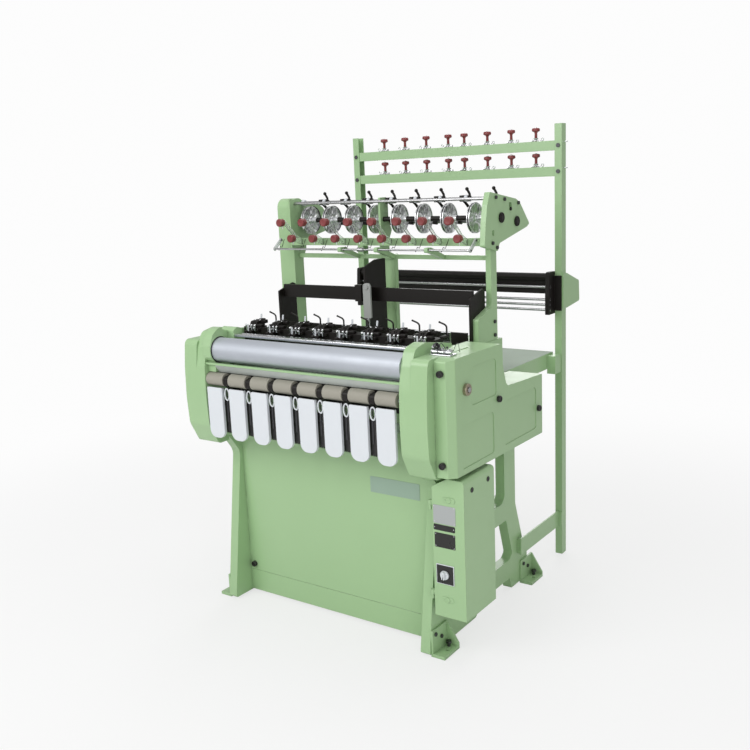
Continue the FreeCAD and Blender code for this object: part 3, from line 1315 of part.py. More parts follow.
def unit_drum():
    """Dark drum that turns on its journals in the end blocks."""
    return joined([cyl_x(-UNIT_X + 10 + SIDE, UNIT_X - 10 - SIDE, DRUM_Y, DRUM_Z, DRUM_R),
                   cyl_x(-UNIT_X - 6, UNIT_X + 6, DRUM_Y, DRUM_Z, ROD_R)])


def unit_plates():
    """Dark plate with a grey band below it, behind the rods."""
    end = UNIT_X - 10
    y0 = UNIT_FRONT_Y + 44
    return [box(-end, end, y0, y0 + 6, UNIT_TOP_Z - 64, UNIT_TOP_Z - 32),
            box(-end, end, y0, y0 + 4, UNIT_TOP_Z - 96, UNIT_TOP_Z - 66)]


def outer_bracket():
    """Green wing plate on the outside of the right post."""
    x0 = POST_X + POST_W
    front = POST_FRONT_Y + 4
    back = POST_FRONT_Y + POST_D - 3
    tip = POST_FRONT_Y + 176
    outline = [(front, UNIT_LOW_Z + 11), (front, UNIT_TOP_Z - 6), (back, UNIT_TOP_Z - 12, 6),
               (tip - 6, UNIT_TOP_Z - 57, 10), (tip, UNIT_LOW_Z + 23, 10), (back, UNIT_LOW_Z + 8, 6)]
    return prism_x(x0, x0 + 6, outline)


# ---- Rear table ------------------------------------------------------------------------------
TABLE_X = 492.0
TABLE_T = 4.0
TABLE_BEAM_H = 62.0
TABLE_BEAM_T = 22.0


def rear_table():
    """Flat table top with a hem along its rear edge."""
    top = box(-TABLE_X, TABLE_X, FRAME_REAR_Y + 1, TABLE_REAR_Y, TABLE_Z - TABLE_T, TABLE_Z)
    hem = box(-TABLE_X, TABLE_X, TABLE_REAR_Y - 4, TABLE_REAR_Y, TABLE_Z - 40, TABLE_Z - TABLE_T)
    return joined([top, hem])


def table_beam():
    """Side beam under the table on the right, from the frame back to the post."""
    low = TABLE_Z - TABLE_T - TABLE_BEAM_H
    x0 = TABLE_X - TABLE_BEAM_T
    beam = box(x0, TABLE_X, FRAME_REAR_Y + 1, TABLE_REAR_Y - 4, low, TABLE_Z - TABLE_T)
    seat = box(x0, TABLE_X, FRAME_REAR_Y + 1, LEG_TOP_Y, TABLE_SEAT_Z, low)
    tab = box(TABLE_X, POST_X + POST_W - 4, TABLE_REAR_Y - 60, POST_FRONT_Y, low - 20, TABLE_Z - 8)
    return joined([beam, seat, tab])


# ---- Drive -----------------------------------------------------------------------------------
PULLEY_X = -FRAME_X - 10.0   # inner face of the main pulley and the motor pulley


def pulley(y, z, radius):
    """Grooved pulley outside the left frame."""
    x1 = PULLEY_X
    x0 = x1 - PULLEY_W
    rim = cyl_x(x0, x1, y, z, radius)
    middle = (x0 + x1) / 2
    half = BELT_W / 2 + SIDE
    groove = cyl_x(middle - half, middle + half, y, z, radius + 1).cut(
        cyl_x(middle - half - 1, middle + half + 1, y, z, radius - GROOVE))
    return rim.cut(groove)


def main_shaft():
    """Main shaft through both frames with its pulley and the stub for the hand crank."""
    body = cyl_x(PULLEY_X - PULLEY_W, COVER_X + 1, SHAFT_Y, SHAFT_Z, SHAFT_R)
    stub = cyl_x(COVER_X + 1, COVER_X + CRANK_OUT, SHAFT_Y, SHAFT_Z, CRANK_R)
    return joined([body, stub, pulley(SHAFT_Y, SHAFT_Z, MAIN_PULLEY_R)])


def motor():
    """Flanged motor on the inside of the left frame, with a foot ring round its shaft."""
    x0 = -INNER_X + MOTOR_GAP
    body = cyl_x(x0, x0 + MOTOR_LENGTH, MOTOR_Y, MOTOR_Z, MOTOR_R)
    flange = cyl_x(-INNER_X, x0, MOTOR_Y, MOTOR_Z, MOTOR_R + 8)
    terminal = box(x0 + 70, x0 + 150, MOTOR_Y - 40, MOTOR_Y + 40, MOTOR_Z + MOTOR_R - 12,
                   MOTOR_Z + MOTOR_R + 30)
    bore = cyl_x(-INNER_X - 1, x0 + 40, MOTOR_Y, MOTOR_Z, MOTOR_SHAFT_R + RUN)
    return without(joined([body, flange, terminal]), [bore])


def motor_rotor():
    """Motor shaft with its pulley."""
    shaft = cyl_x(PULLEY_X - PULLEY_W, -INNER_X + MOTOR_GAP + 39, MOTOR_Y, MOTOR_Z, MOTOR_SHAFT_R)
    return joined([shaft, pulley(MOTOR_Y, MOTOR_Z, MOTOR_PULLEY_R)])


def belt(y0, z0, r0, y1, z1, r1, x0, x1):
    """Flat open belt round two pulleys, clear of them by a gap."""
    def hull(grow):
        a = r0 + grow
        b = r1 + grow
        span = math.hypot(y1 - y0, z1 - z0)
        tilt = math.atan2(z1 - z0, y1 - y0)
        lean = math.acos((a - b) / span)
        points = []
        for sign in (1, -1):
            t = tilt + sign * lean
            points.append([(y0 + a * math.cos(t), z0 + a * math.sin(t)),
                           (y1 + b * math.cos(t), z1 + b * math.sin(t))])
        quad = [points[0][0], points[0][1], points[1][1], points[1][0]]
        middle = prism_x(x0, x1, quad)
        return joined([middle, cyl_x(x0, x1, y0, z0, a), cyl_x(x0, x1, y1, z1, b)])
    return hull(GAP + BELT_T).cut(hull(GAP))


def main_belt():
    """Drive belt from the motor to the main shaft."""
    middle = PULLEY_X - PULLEY_W / 2
    return belt(MOTOR_Y, MOTOR_Z, MOTOR_PULLEY_R - GROOVE, SHAFT_Y, SHAFT_Z,
                MAIN_PULLEY_R - GROOVE, middle - BELT_W / 2, middle + BELT_W / 2)


# ---- Tension device beside the right housing -------------------------------------------------
def spring_cluster():
    """Bright barrels of a tension device, on top of the right housing's shoulder and its cover."""
    z = COVER_TOP_Z
    x0 = HOUSING_X - 47
    seat = box(x0, x0 + 84, 22, 66, z, z + 5)
    barrels = [cyl_x(x0 + 4, x0 + 80, 34, z + 12, 8), cyl_x(x0 + 4, x0 + 72, 54, z + 12, 8),
               cyl_x(x0 + 2, x0 + 32, 44, z + 22, 8)]
    return joined([seat] + barrels)


# ---- Frame bolts -----------------------------------------------------------------------------
def frame_bolts():
    """All hexagon bolts that show on the frames, feet, uprights, plates and posts."""
    bolts = []
    for hole_y in (FRONT_FOOT_Y, REAR_FOOT_Y):
        for y, z in foot_bolt_places(hole_y):
            bolts += both(bolt_x(FRAME_X + FOOT_WALL, y, z, 1))
    face = RIGHT_PLATE_X + TOP_PLATE_T
    for a, b in ((-42, 77), (28, 67), (144, 49), (-72, -90), (-37, -109)):
        bolts.append(bolt_x(face, FEED_Y + a, FEED_Z + b, 1))
    face = UPRIGHT_X + UPRIGHT_W
    for z in (FRAME_TOP_Z + 20, FRAME_TOP_Z + 72):
        bolts.append(bolt_x(face, UPRIGHT_FRONT_Y + 20, z, 1))
    for z in BAR_ZS:
        bolts += both(bolt_y(POST_X + POST_W / 2, POST_FRONT_Y, z + BAR_H / 2, 5, 4, SHEET))
    return bolts


# ---- Build every node ------------------------------------------------------------------------
BOLTS = frame_bolts()
RIGHT_FRAME = side_frame()

save("right_side_frame", without(RIGHT_FRAME, frame_bores(1) + BOLTS))
save("left_side_frame", without(mirrored(RIGHT_FRAME), frame_bores(-1) + BOLTS))
save("foot_brackets", both(foot(FRONT_FOOT_Y)) + both(foot(REAR_FOOT_Y)))
save("fasteners", BOLTS + both(level_screw(FRONT_FOOT_Y)) + both(level_screw(REAR_FOOT_Y)))
save("front_panel", front_panel())
save("cross_stretchers", [cross_channel(PANEL_Y, STRETCHER_D, STRETCHER_LOW_Z, PANEL_LOW_Z - 1.5),
                          cross_channel(REAR_STRETCHER_Y, STRETCHER_D, RAIL_LOW_Z, RAIL_TOP_Z),
                          front_beam()])
save("machine_bed", machine_bed())
save("front_housings", [front_housing(1), front_housing(-1)])
save("right_side_cover", right_cover())
save("left_side_cover", left_cover())
save("cover_knobs", cover_knobs() + [panel_knob()])

save("control_box", control_box())
save("control_box_door", box_door())
save("switch_plate", switch_plate())
save("switch_dial", switch_dial())

save("main_shaft", main_shaft())
save("motor", motor())
save("motor_rotor", motor_rotor())
save("main_belt", main_belt())

save("take_up_roller", take_up_roller())
save("press_shaft", press_shaft())
save("press_sleeves", press_sleeves())
save("guide_bar", guide_bar())
save("roller_rail", joined([roller_rail(), slanted_sheet()]))
save("roller_carriers", [roller_carrier(x) for x in LANE_GAP_XS])
save("ring_guides", [ring_guide(x) for x in LANE_GAP_XS])
save("delivery_chutes", [chute(x) for x in LANE_XS])
save("chute_slats", [slat(x + SLAT_SHIFT) for x in LANE_GAP_XS])

save("head_beam", head_beam())
save("head_blocks", [joined([head_block(x), bent_lever(x), thread_tag(x)]) for x in HEAD_XS])
save("tape_guides", [pin for x in HEAD_XS for pin in tape_guide(x)])
save("needle_shaft", needle_unit())
save("sley_shaft", sley_unit())
save("reeds", [reed(x) for x in HEAD_XS])
save("spring_cluster", spring_cluster())

save("harness_plates", both(harness_plate()) + [centre_plate()])
save("harness_beams", [harness_beam(), lower_beam(), arm_block()])
save("spring_arm", spring_arm())
save("harness_spring", harness_spring())
save("left_upright", left_upright())
save("rear_uprights", [right_upright().cut(Part.makeCompound(BOLTS)), centre_upright()])

save("top_plates", [without(top_plate(RIGHT_PLATE_X, TOP_PLATE_T), BOLTS),
                    left_top_plate()])
save("top_rods", top_rods() + [tie_rod()])
save("arm_clamps", [arm_clamp(x + CLAMP_SHIFT) for x in HEAD_XS]
     + [rod_finger(x + FINGER_SHIFT) for x in HEAD_XS]
     + [rod_collar(x - COLLAR_SHIFT) for x in HEAD_XS])
save("feeder_shaft", feeder_shaft())
save("feeder_discs", [feeder_disc(x) for x in HEAD_XS])
save("disc_guards", [disc_guard(x) for x in HEAD_XS])
save("cross_bars", [mid_bar(), low_bar()])
save("bar_brackets", [hanger()] + [rod_bracket(x) for x in BRACKET_XS])
save("tension_arms", [tension_arm(x) for x in HEAD_XS])
save("tension_knobs", [tension_knob(x, place) for place in (KNOB_HIGH, KNOB_LOW) for x in HEAD_XS])
save("stop_rod", stop_rod())

save("creel_frame", [without(post, BOLTS) for post in both(creel_post())]
     + [creel_bar(z) for z in BAR_ZS])
save("creel_knobs", [creel_knob(x, z + BAR_H) for z in BAR_ZS for x, side in creel_places()])
save("creel_bases", [creel_base(x, z + BAR_H, side) for z in BAR_ZS for x, side in creel_places()])
save("creel_brackets", both(creel_stretcher()) + both(outer_bracket()))
save("guide_unit_ends", both(unit_end()) + unit_plates())
save("guide_unit_rods", unit_rods())
save("guide_unit_drum", unit_drum())
save("rear_table", joined([rear_table()] + both(table_beam())))
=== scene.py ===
import math
import bpy
import numpy as np
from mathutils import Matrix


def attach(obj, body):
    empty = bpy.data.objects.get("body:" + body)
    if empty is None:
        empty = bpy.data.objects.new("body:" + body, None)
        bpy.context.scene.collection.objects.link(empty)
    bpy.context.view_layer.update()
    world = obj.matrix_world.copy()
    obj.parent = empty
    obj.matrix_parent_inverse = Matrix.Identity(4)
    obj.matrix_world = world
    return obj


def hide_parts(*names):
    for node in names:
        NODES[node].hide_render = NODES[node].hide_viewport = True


# Needle loom with eight weaving heads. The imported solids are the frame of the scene. Painted and
# machined pieces keep their solids and get a finish, and the small parts whose form matters to the
# eye are drawn here as surfaces. Shapes are written in millimetres, x to the operator's right,
# d the depth behind the front of the legs and z the height, and piece() puts them in the row frame.

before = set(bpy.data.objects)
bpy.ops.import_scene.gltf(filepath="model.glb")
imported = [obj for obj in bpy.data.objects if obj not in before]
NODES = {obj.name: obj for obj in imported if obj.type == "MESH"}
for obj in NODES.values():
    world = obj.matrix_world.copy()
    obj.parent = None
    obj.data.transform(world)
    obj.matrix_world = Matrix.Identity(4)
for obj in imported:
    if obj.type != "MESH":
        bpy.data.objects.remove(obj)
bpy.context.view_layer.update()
scene = bpy.context.scene
TAU = 2 * math.pi

# ---- Sizes shared with the solids, in millimetres ---------------------------------------------
ORIGIN_D = 424.0             # depth of the row frame's origin
HEADS = 8
HEAD_PITCH = 115.5
HEAD_XS = (np.arange(HEADS) - (HEADS - 1) / 2) * HEAD_PITCH
LANE_SHIFT = -8.0            # from a head to the lane of its tape at the front
LANE_GAP_XS = (HEAD_XS[:-1] + HEAD_XS[1:]) / 2 + LANE_SHIFT
COVER_X = 637.0              # outer face of the right side cover
BOX_X = 650.0                # outer face of the control box
HEAD_BEAM = (165.0, 222.0, 1140.0)   # front and rear depth, top
ROLLER = (-21.0, 1079.0)     # depth and height of an axis: take-up roller, and then main shaft,
SHAFT = (60.0, 1001.0)       # feeder shaft, tie rod, upper top rod and stop rod
FEED = (572.0, 1545.0)
TIE = (701.0, 1524.0)
HIGH_ROD = (592.0, 1619.0)
STOP = (440.0, 1432.0)
DISC_R = 58.0                # radius of a feeder disc
PLATE_FACE = 515.0           # outer face of the right top plate
KNOB_HIGH = (386.0, 1546.0)  # seats of the two rows of tension knobs
KNOB_LOW = (450.0, 1476.0)
TABLE_Z = 938.0              # top of the rear table
CREEL_D = 1109.0             # depth of the creel bars, and the heights of their tops
CREEL_TOPS = (1832.0, 1726.0)
DOOR_FACE = 7.7              # depth of the door's outer face

# Directions
RIGHT = (1, 0, 0)
FRONT = (0, -1, 0)
BACK = (0, 1, 0)
UP = (0, 0, 1)


# ---- Surfaces ----------------------------------------------------------------------------------
def grid_faces(rows, cols, wrap_rows=False, wrap_cols=False):
    """Quads of a grid of rows by cols points, joined round where a direction wraps."""
    r = np.arange(rows if wrap_rows else rows - 1)
    c = np.arange(cols if wrap_cols else cols - 1)
    r, c = np.meshgrid(r, c, indexing="ij")
    r1 = (r + 1) % rows
    c1 = (c + 1) % cols
    return np.stack([r * cols + c, r * cols + c1, r1 * cols + c1, r1 * cols + c], -1).reshape(-1, 4)


def merge(shapes):
    """One shape out of several: points stacked, faces renumbered."""
    points, faces, base = [], [], 0
    for p, f in shapes:
        points.append(p)
        faces += [(np.asarray(a) + base).tolist() for a in f]
        base += len(p)
    return np.concatenate(points), faces


def unit(v):
    """Vectors divided by their lengths."""
    return v / np.linalg.norm(v, axis=-1, keepdims=True)


def tube(path, radius, sides=10, ref=(0, 0, 1), closed=False):
    """Pipe: at each point of the path a circle of the given radius in the plane square to the path,
    whose first axis is the cross product of the path's direction and ref."""
    path = np.asarray(path, float)
    radius = np.broadcast_to(np.asarray(radius, float), len(path))
    if closed:
        way = np.roll(path, -1, 0) - np.roll(path, 1, 0)
    else:
        way = np.gradient(path, axis=0)
    way = unit(way)
    side = unit(np.cross(way, np.asarray(ref, float)))
    up = np.cross(side, way)
    turn = np.arange(sides) / sides * TAU
    ring = np.cos(turn)[None, :, None] * side[:, None] + np.sin(turn)[None, :, None] * up[:, None]
    points = (path[:, None] + radius[:, None, None] * ring).reshape(-1, 3)
    faces = grid_faces(len(path), sides, closed, True)[:, ::-1].tolist()
    if not closed:
        last = (len(path) - 1) * sides
        faces.append(list(range(sides)))
        faces.append([last + i for i in range(sides)][::-1])
    return points, faces


def basis(axis):
    """Two directions square to an axis, in order, so that the three form a right-handed set."""
    a = unit(np.asarray(axis, float))
    other = np.array([0, 0, 1.0]) if abs(a[2]) < 0.9 else np.array([1.0, 0, 0])
    b = unit(np.cross(other, a))
    return a, b, np.cross(a, b)


def turned(profile, centre, axis, sides=32, flute=0.0, flutes=24, zone=None):
    """Turned piece: profile of (distance along the axis, radius) swept round the axis. Where zone
    gives two distances, the radius there varies by flute times the cosine of flutes turns."""
    profile = np.asarray(profile, float)
    a, b, c = basis(axis)
    turn = np.arange(sides) / sides * TAU
    along, radius = profile[:, 0], np.maximum(profile[:, 1], 0.01)
    r = np.repeat(radius[:, None], sides, 1)
    if zone:
        inside = (along >= zone[0]) & (along <= zone[1])
        r = r + inside[:, None] * flute * np.cos(flutes * turn)[None]
    ring = np.cos(turn)[:, None] * b + np.sin(turn)[:, None] * c
    points = np.asarray(centre, float) + along[:, None, None] * a + r[..., None] * ring[None]
    count = len(profile)
    faces = grid_faces(count, sides, False, True)[:, ::-1].tolist()
    faces.append(list(range(sides)))
    faces.append([(count - 1) * sides + i for i in range(sides)][::-1])
    return points.reshape(-1, 3), [f[::-1] for f in faces]


def rounded(points, steps=5):
    """Outline whose corners (a, b, radius) become arcs of the given number of steps."""
    out = []
    count = len(points)
    for i, corner in enumerate(points):
        here = np.array(corner[:2], float)
        radius = corner[2] if len(corner) > 2 else 0
        if radius == 0:
            out.append(here[None])
            continue
        back = unit(np.array(points[i - 1][:2], float) - here)
        ahead = unit(np.array(points[(i + 1) % count][:2], float) - here)
        half = math.acos(np.clip(back @ ahead, -1, 1)) / 2
        middle = here + unit(back + ahead) * radius / math.sin(half)
        first = here + back * radius / math.tan(half) - middle
        last = here + ahead * radius / math.tan(half) - middle
        t = np.linspace(0, 1, steps + 1)[:, None]
        out.append(middle + radius * unit(first * (1 - t) + last * t))
    return np.concatenate(out)


def round_plate(a0, a1, b0, b1, radius):
    """Outline of a rectangle with corners of one radius."""
    return rounded([(a0, b0, radius), (a1, b0, radius), (a1, b1, radius), (a0, b1, radius)])


def slab(outline, low, high, axis=1, bevel=0.8):
    """Plate: the outline drawn out along an axis (0, 1 or 2) from low to high, with its edges
    drawn in by the bevel at both faces."""
    outline = np.asarray(outline, float)
    ahead = np.roll(outline, -1, 0)
    area = np.sum(outline[:, 0] * ahead[:, 1] - ahead[:, 0] * outline[:, 1])
    if area < 0:
        outline = outline[::-1]
    ahead = unit(np.roll(outline, -1, 0) - outline)
    normal = np.stack([ahead[:, 1], -ahead[:, 0]], -1)
    corner = unit(normal + np.roll(normal, 1, 0))
    inner = outline - corner * bevel
    levels = [(inner, low), (outline, low + bevel), (outline, high - bevel), (inner, high)]
    rings = [np.insert(o, axis, level, 1) for o, level in levels]
    n = len(outline)
    faces = grid_faces(4, n, False, True).tolist()
    faces += [list(range(n))[::-1], [3 * n + i for i in range(n)]]
    if axis == 1:
        faces = [f[::-1] for f in faces]
    return np.concatenate(rings), faces


def block(x0, x1, d0, d1, z0, z1, bevel=0.8):
    """Box with broken edges."""
    return slab([(x0, d0), (x1, d0), (x1, d1), (x0, d1)], z0, z1, 2, bevel)


def ball(centre, radius, sides=14):
    """Sphere as a turned half circle."""
    t = np.linspace(0, math.pi, sides // 2 + 2)
    return turned(np.stack([-np.cos(t) * radius, np.sin(t) * radius], -1), centre, (0, 0, 1), sides)


def ring(centre, axis, radius, wire, sides=24, stretch=1.0):
    """Closed ring of wire: a circle, stretched along its second direction."""
    a, b, c = basis(axis)
    t = np.arange(sides) / sides * TAU
    path = np.asarray(centre, float) + radius * (np.cos(t)[:, None] * b + stretch * np.sin(t)[:, None] * c)
    return tube(path, wire, 8, a, True)


def coil(start, end, radius, wire, turns, sides=6, per_turn=14):
    """Helical spring: a circle of the given radius carried from start to end."""
    start, end = np.asarray(start, float), np.asarray(end, float)
    a, b, c = basis(end - start)
    t = np.linspace(0, 1, int(turns * per_turn) + 1)[:, None]
    w = t * turns * TAU
    path = start + (end - start) * t + radius * (np.cos(w) * b + np.sin(w) * c)
    return tube(path, wire, sides, a)


def bent(points, radius, steps=6):
    """Wire path through corner points, each corner rounded to the given radius."""
    points = [np.asarray(p, float) for p in points]
    out = [points[0][None]]
    for before, here, after in zip(points, points[1:], points[2:]):
        back, ahead = unit(before - here), unit(after - here)
        t = np.linspace(0, 1, steps + 1)[:, None]
        a, b = here + back * radius, here + ahead * radius
        out.append((1 - t) ** 2 * a + 2 * t * (1 - t) * here + t ** 2 * b)
    out.append(points[-1][None])
    return np.concatenate(out)


def loop(profile, centre, axis, sides=32):
    """Ring: a closed profile of (distance along the axis, radius), first point repeated last, swept
    round the axis."""
    profile = np.asarray(profile, float)[:-1]
    a, b, c = basis(axis)
    turn = np.arange(sides) / sides * TAU
    out = np.cos(turn)[:, None] * b + np.sin(turn)[:, None] * c
    along, radius = profile[:, 0, None, None], profile[:, 1, None, None]
    points = np.asarray(centre, float) + along * a + radius * out[None]
    return points.reshape(-1, 3), grid_faces(len(profile), sides, True, True).tolist()


def socket_screw(place, axis, radius, height):
    """Round screw head with a six-sided socket: a turned head with a sunk middle of six sides."""
    profile = [(0, radius * 0.96), (height * 0.75, radius), (height, radius * 0.86), (height, radius * 0.56)]
    head = turned(profile, place, axis, 20)
    sink = turned([(height * 0.98, radius * 0.5), (height * 1.01, radius * 0.5)], place, axis, 6)
    return [head, sink]


def piece(name, shapes, material, body="frame", replaces=(), angle=38):
    """New mesh from a shape or several, in the row frame in metres, that rides on a body."""
    points, faces = merge(shapes) if isinstance(shapes, list) else shapes
    points = (points - np.array([0, ORIGIN_D, 0])) / 1000
    mesh = bpy.data.meshes.new(name)
    mesh.from_pydata(points.tolist(), [], faces)
    mesh.update()
    mesh.polygons.foreach_set("use_smooth", np.ones(len(mesh.polygons), bool))
    mesh.set_sharp_from_angle(angle=math.radians(angle))
    mesh.materials.append(MATERIALS[material])
    made = bpy.data.objects.new(name, mesh)
    scene.collection.objects.link(made)
    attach(made, body)
    if replaces:
        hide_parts(*replaces)
    return made


# ---- Node helpers ------------------------------------------------------------------------------
def add(tree, kind, props=None, inputs=None):
    """New node with its properties, and its inputs set to values or linked to sockets."""
    node = tree.nodes.new(kind)
    for key, value in (props or {}).items():
        setattr(node, key, value)
    for key, value in (inputs or {}).items():
        if isinstance(value, bpy.types.NodeSocket):
            tree.links.new(value, node.inputs[key])
        else:
            node.inputs[key].default_value = value
    return node


def math_node(tree, operation, a, b=0.0, c=0.0, clamp=False):
    """One arithmetic step."""
    node = add(tree, "ShaderNodeMath", {"operation": operation, "use_clamp": clamp},
               {0: a, 1: b, 2: c})
    return node.outputs[0]


def remap(tree, value, low, high, to_low=0.0, to_high=1.0):
    """Value stretched from one range to another and held inside it."""
    node = add(tree, "ShaderNodeMapRange", {"interpolation_type": "SMOOTHSTEP"},
               {"Value": value, "From Min": low, "From Max": high, "To Min": to_low, "To Max": to_high})
    return node.outputs["Result"]


def noise(tree, scale, detail=3.0, rough=0.55, stretch=(1, 1, 1)):
    """Noise over the piece's own place, stretched along the axes."""
    where = add(tree, "ShaderNodeTexCoord").outputs["Object"]
    if stretch != (1, 1, 1):
        where = add(tree, "ShaderNodeMapping", None, {"Vector": where, "Scale": stretch}).outputs[0]
    node = add(tree, "ShaderNodeTexNoise", None,
               {"Vector": where, "Scale": scale, "Detail": detail, "Roughness": rough})
    return node.outputs["Fac"]


def mix(tree, factor, a, b):
    """Colour a blended to colour b by a factor."""
    node = add(tree, "ShaderNodeMix", {"data_type": "RGBA"}, {0: factor})
    for index, value in ((6, a), (7, b)):
        if isinstance(value, bpy.types.NodeSocket):
            tree.links.new(value, node.inputs[index])
        else:
            node.inputs[index].default_value = (*value, 1)
    return node.outputs[2]


def new_group(name, ins, outs):
    """Empty node group with named inputs (name, kind, value) and outputs (name, kind)."""
    group = bpy.data.node_groups.new(name, "ShaderNodeTree")
    for key, kind, value in ins:
        socket = group.interface.new_socket(key, in_out="INPUT", socket_type="NodeSocket" + kind)
        socket.default_value = value
    for key, kind in outs:
        group.interface.new_socket(key, in_out="OUTPUT", socket_type="NodeSocket" + kind)
    return group, group.nodes.new("NodeGroupInput").outputs, group.nodes.new("NodeGroupOutput").inputs


def edge_group():
    """Edges: the normal rounded over a width, and a mask of worn patches along those edges."""
    group, ins, outs = new_group("edges", [("Width", "Float", 0.001), ("Wear", "Float", 0.3)],
                                 [("Normal", "Vector"), ("Mask", "Float")])
    soft = add(group, "ShaderNodeBevel", {"samples": 4}, {"Radius": ins["Width"]}).outputs[0]
    flat = add(group, "ShaderNodeNewGeometry").outputs["Normal"]
    dot = add(group, "ShaderNodeVectorMath", {"operation": "DOT_PRODUCT"}, {0: soft, 1: flat})
    bend = remap(group, math_node(group, "SUBTRACT", 1.0, dot.outputs["Value"]), 0.01, 0.14)
    patches = remap(group, noise(group, 38.0, 5.0, 0.65), 0.50, 0.62)
    worn = math_node(group, "MULTIPLY", bend, patches)
    mask = math_node(group, "MULTIPLY", worn, ins["Wear"], clamp=True)
    group.links.new(soft, outs["Normal"])
    group.links.new(mask, outs["Mask"])
    return group


def grime_and_shade_group():
    """Grime and shade: dust on faces that look up, and corners darkened where ambient occlusion finds them
    shut in, partly dirt and partly painted shade, each broken up by noise.
    """
    group, ins, outs = new_group("grime_and_shade", [("Dust", "Float", 0.2), ("Dirt", "Float", 0.3)],
                                 [("Dust", "Float"), ("Dirt", "Float")])
    normal = add(group, "ShaderNodeNewGeometry").outputs["Normal"]
    up = add(group, "ShaderNodeSeparateXYZ", None, {0: normal}).outputs["Z"]
    patches = remap(group, noise(group, 9.0), 0.35, 0.7)
    lying = math_node(group, "MULTIPLY", remap(group, up, 0.5, 1.0), patches)
    group.links.new(math_node(group, "MULTIPLY", lying, ins["Dust"], clamp=True), outs["Dust"])
    # Painted shade, partly dirt: corners that ambient occlusion finds shut in get a mask that darkens the
    # colour.
    open_sky = add(group, "ShaderNodeAmbientOcclusion", {"samples": 6}, {"Distance": 0.03}).outputs["AO"]
    patches = remap(group, noise(group, 26.0), 0.25, 0.65)
    corner = math_node(group, "MULTIPLY", remap(group, open_sky, 0.75, 0.25), patches)
    group.links.new(math_node(group, "MULTIPLY", corner, ins["Dirt"], clamp=True), outs["Dirt"])
    return group


def tone_group():
    """Tone: a colour whose brightness drifts over the surface, coarsely and finely."""
    group, ins, outs = new_group("tone", [("Colour", "Color", (1, 1, 1, 1)), ("Drift", "Float", 0.06),
                                          ("Scale", "Float", 3.0)], [("Colour", "Color")])
    coarse = add(group, "ShaderNodeTexNoise", None, {
        "Vector": add(group, "ShaderNodeTexCoord").outputs["Object"], "Scale": ins["Scale"], "Detail": 4.0})
    fine = noise(group, 160.0, 2.0)
    both = math_node(group, "ADD", math_node(group, "MULTIPLY", coarse.outputs["Fac"], 1.5),
                     math_node(group, "MULTIPLY", fine, 0.5))
    change = math_node(group, "MULTIPLY", math_node(group, "SUBTRACT", both, 1.0), ins["Drift"])
    bright = math_node(group, "ADD", change, 1.0)
    node = add(group, "ShaderNodeVectorMath", {"operation": "SCALE"}, {0: ins["Colour"], "Scale": bright})
    group.links.new(node.outputs[0], outs["Colour"])
    return group


def skin_group():
    """Skin: small height ripples like sprayed paint or moulded plastic, plus a broad unevenness."""
    group, ins, outs = new_group("skin", [("Scale", "Float", 500.0), ("Broad", "Float", 0.3)],
                                 [("Height", "Float"), ("Spread", "Float")])
    where = add(group, "ShaderNodeTexCoord").outputs["Object"]
    fine = add(group, "ShaderNodeTexNoise", None, {"Vector": where, "Scale": ins["Scale"], "Detail": 2.0})
    broad = noise(group, 14.0, 4.0)
    total = math_node(group, "ADD", math_node(group, "MULTIPLY", fine.outputs["Fac"], 0.6),
                      math_node(group, "MULTIPLY", broad, ins["Broad"]))
    group.links.new(total, outs["Height"])
    group.links.new(math_node(group, "SUBTRACT", broad, 0.5), outs["Spread"])
    return group


def grain_group():
    """Grain: fine lines along one axis, as grinding or brushing leaves them, and smudges on top."""
    group, ins, outs = new_group("grain", [("Across", "Vector", (1, 400, 400))],
                                 [("Lines", "Float"), ("Smudge", "Float")])
    where = add(group, "ShaderNodeTexCoord").outputs["Object"]
    placed = add(group, "ShaderNodeVectorMath", {"operation": "MULTIPLY"}, {0: where, 1: ins["Across"]})
    lines = add(group, "ShaderNodeTexNoise", None, {"Vector": placed.outputs[0], "Scale": 1.0, "Detail": 4.0,
                                                    "Roughness": 0.7})
    group.links.new(lines.outputs["Fac"], outs["Lines"])
    group.links.new(remap(group, noise(group, 7.0, 5.0), 0.3, 0.7), outs["Smudge"])
    return group


GROUPS = {"edges": edge_group(), "grime_and_shade": grime_and_shade_group(), "tone": tone_group(), "skin": skin_group(),
          "grain": grain_group()}
MATERIALS = {}


def use(tree, name, **values):
    """One of the shared groups placed in a material with its own values."""
    node = tree.nodes.new("ShaderNodeGroup")
    node.node_tree = GROUPS[name]
    for key, value in values.items():
        node.inputs[key].default_value = value
    return node.outputs


def blank(name, **sockets):
    """Material with one Principled shader; plain numbers go straight on its sockets."""
    material = bpy.data.materials.new(name)
    material.use_nodes = True
    tree = material.node_tree
    shader = tree.nodes["Principled BSDF"]
    for key, value in sockets.items():
        shader.inputs[key.replace("_", " ")].default_value = value
    MATERIALS[name] = material
    return tree, shader


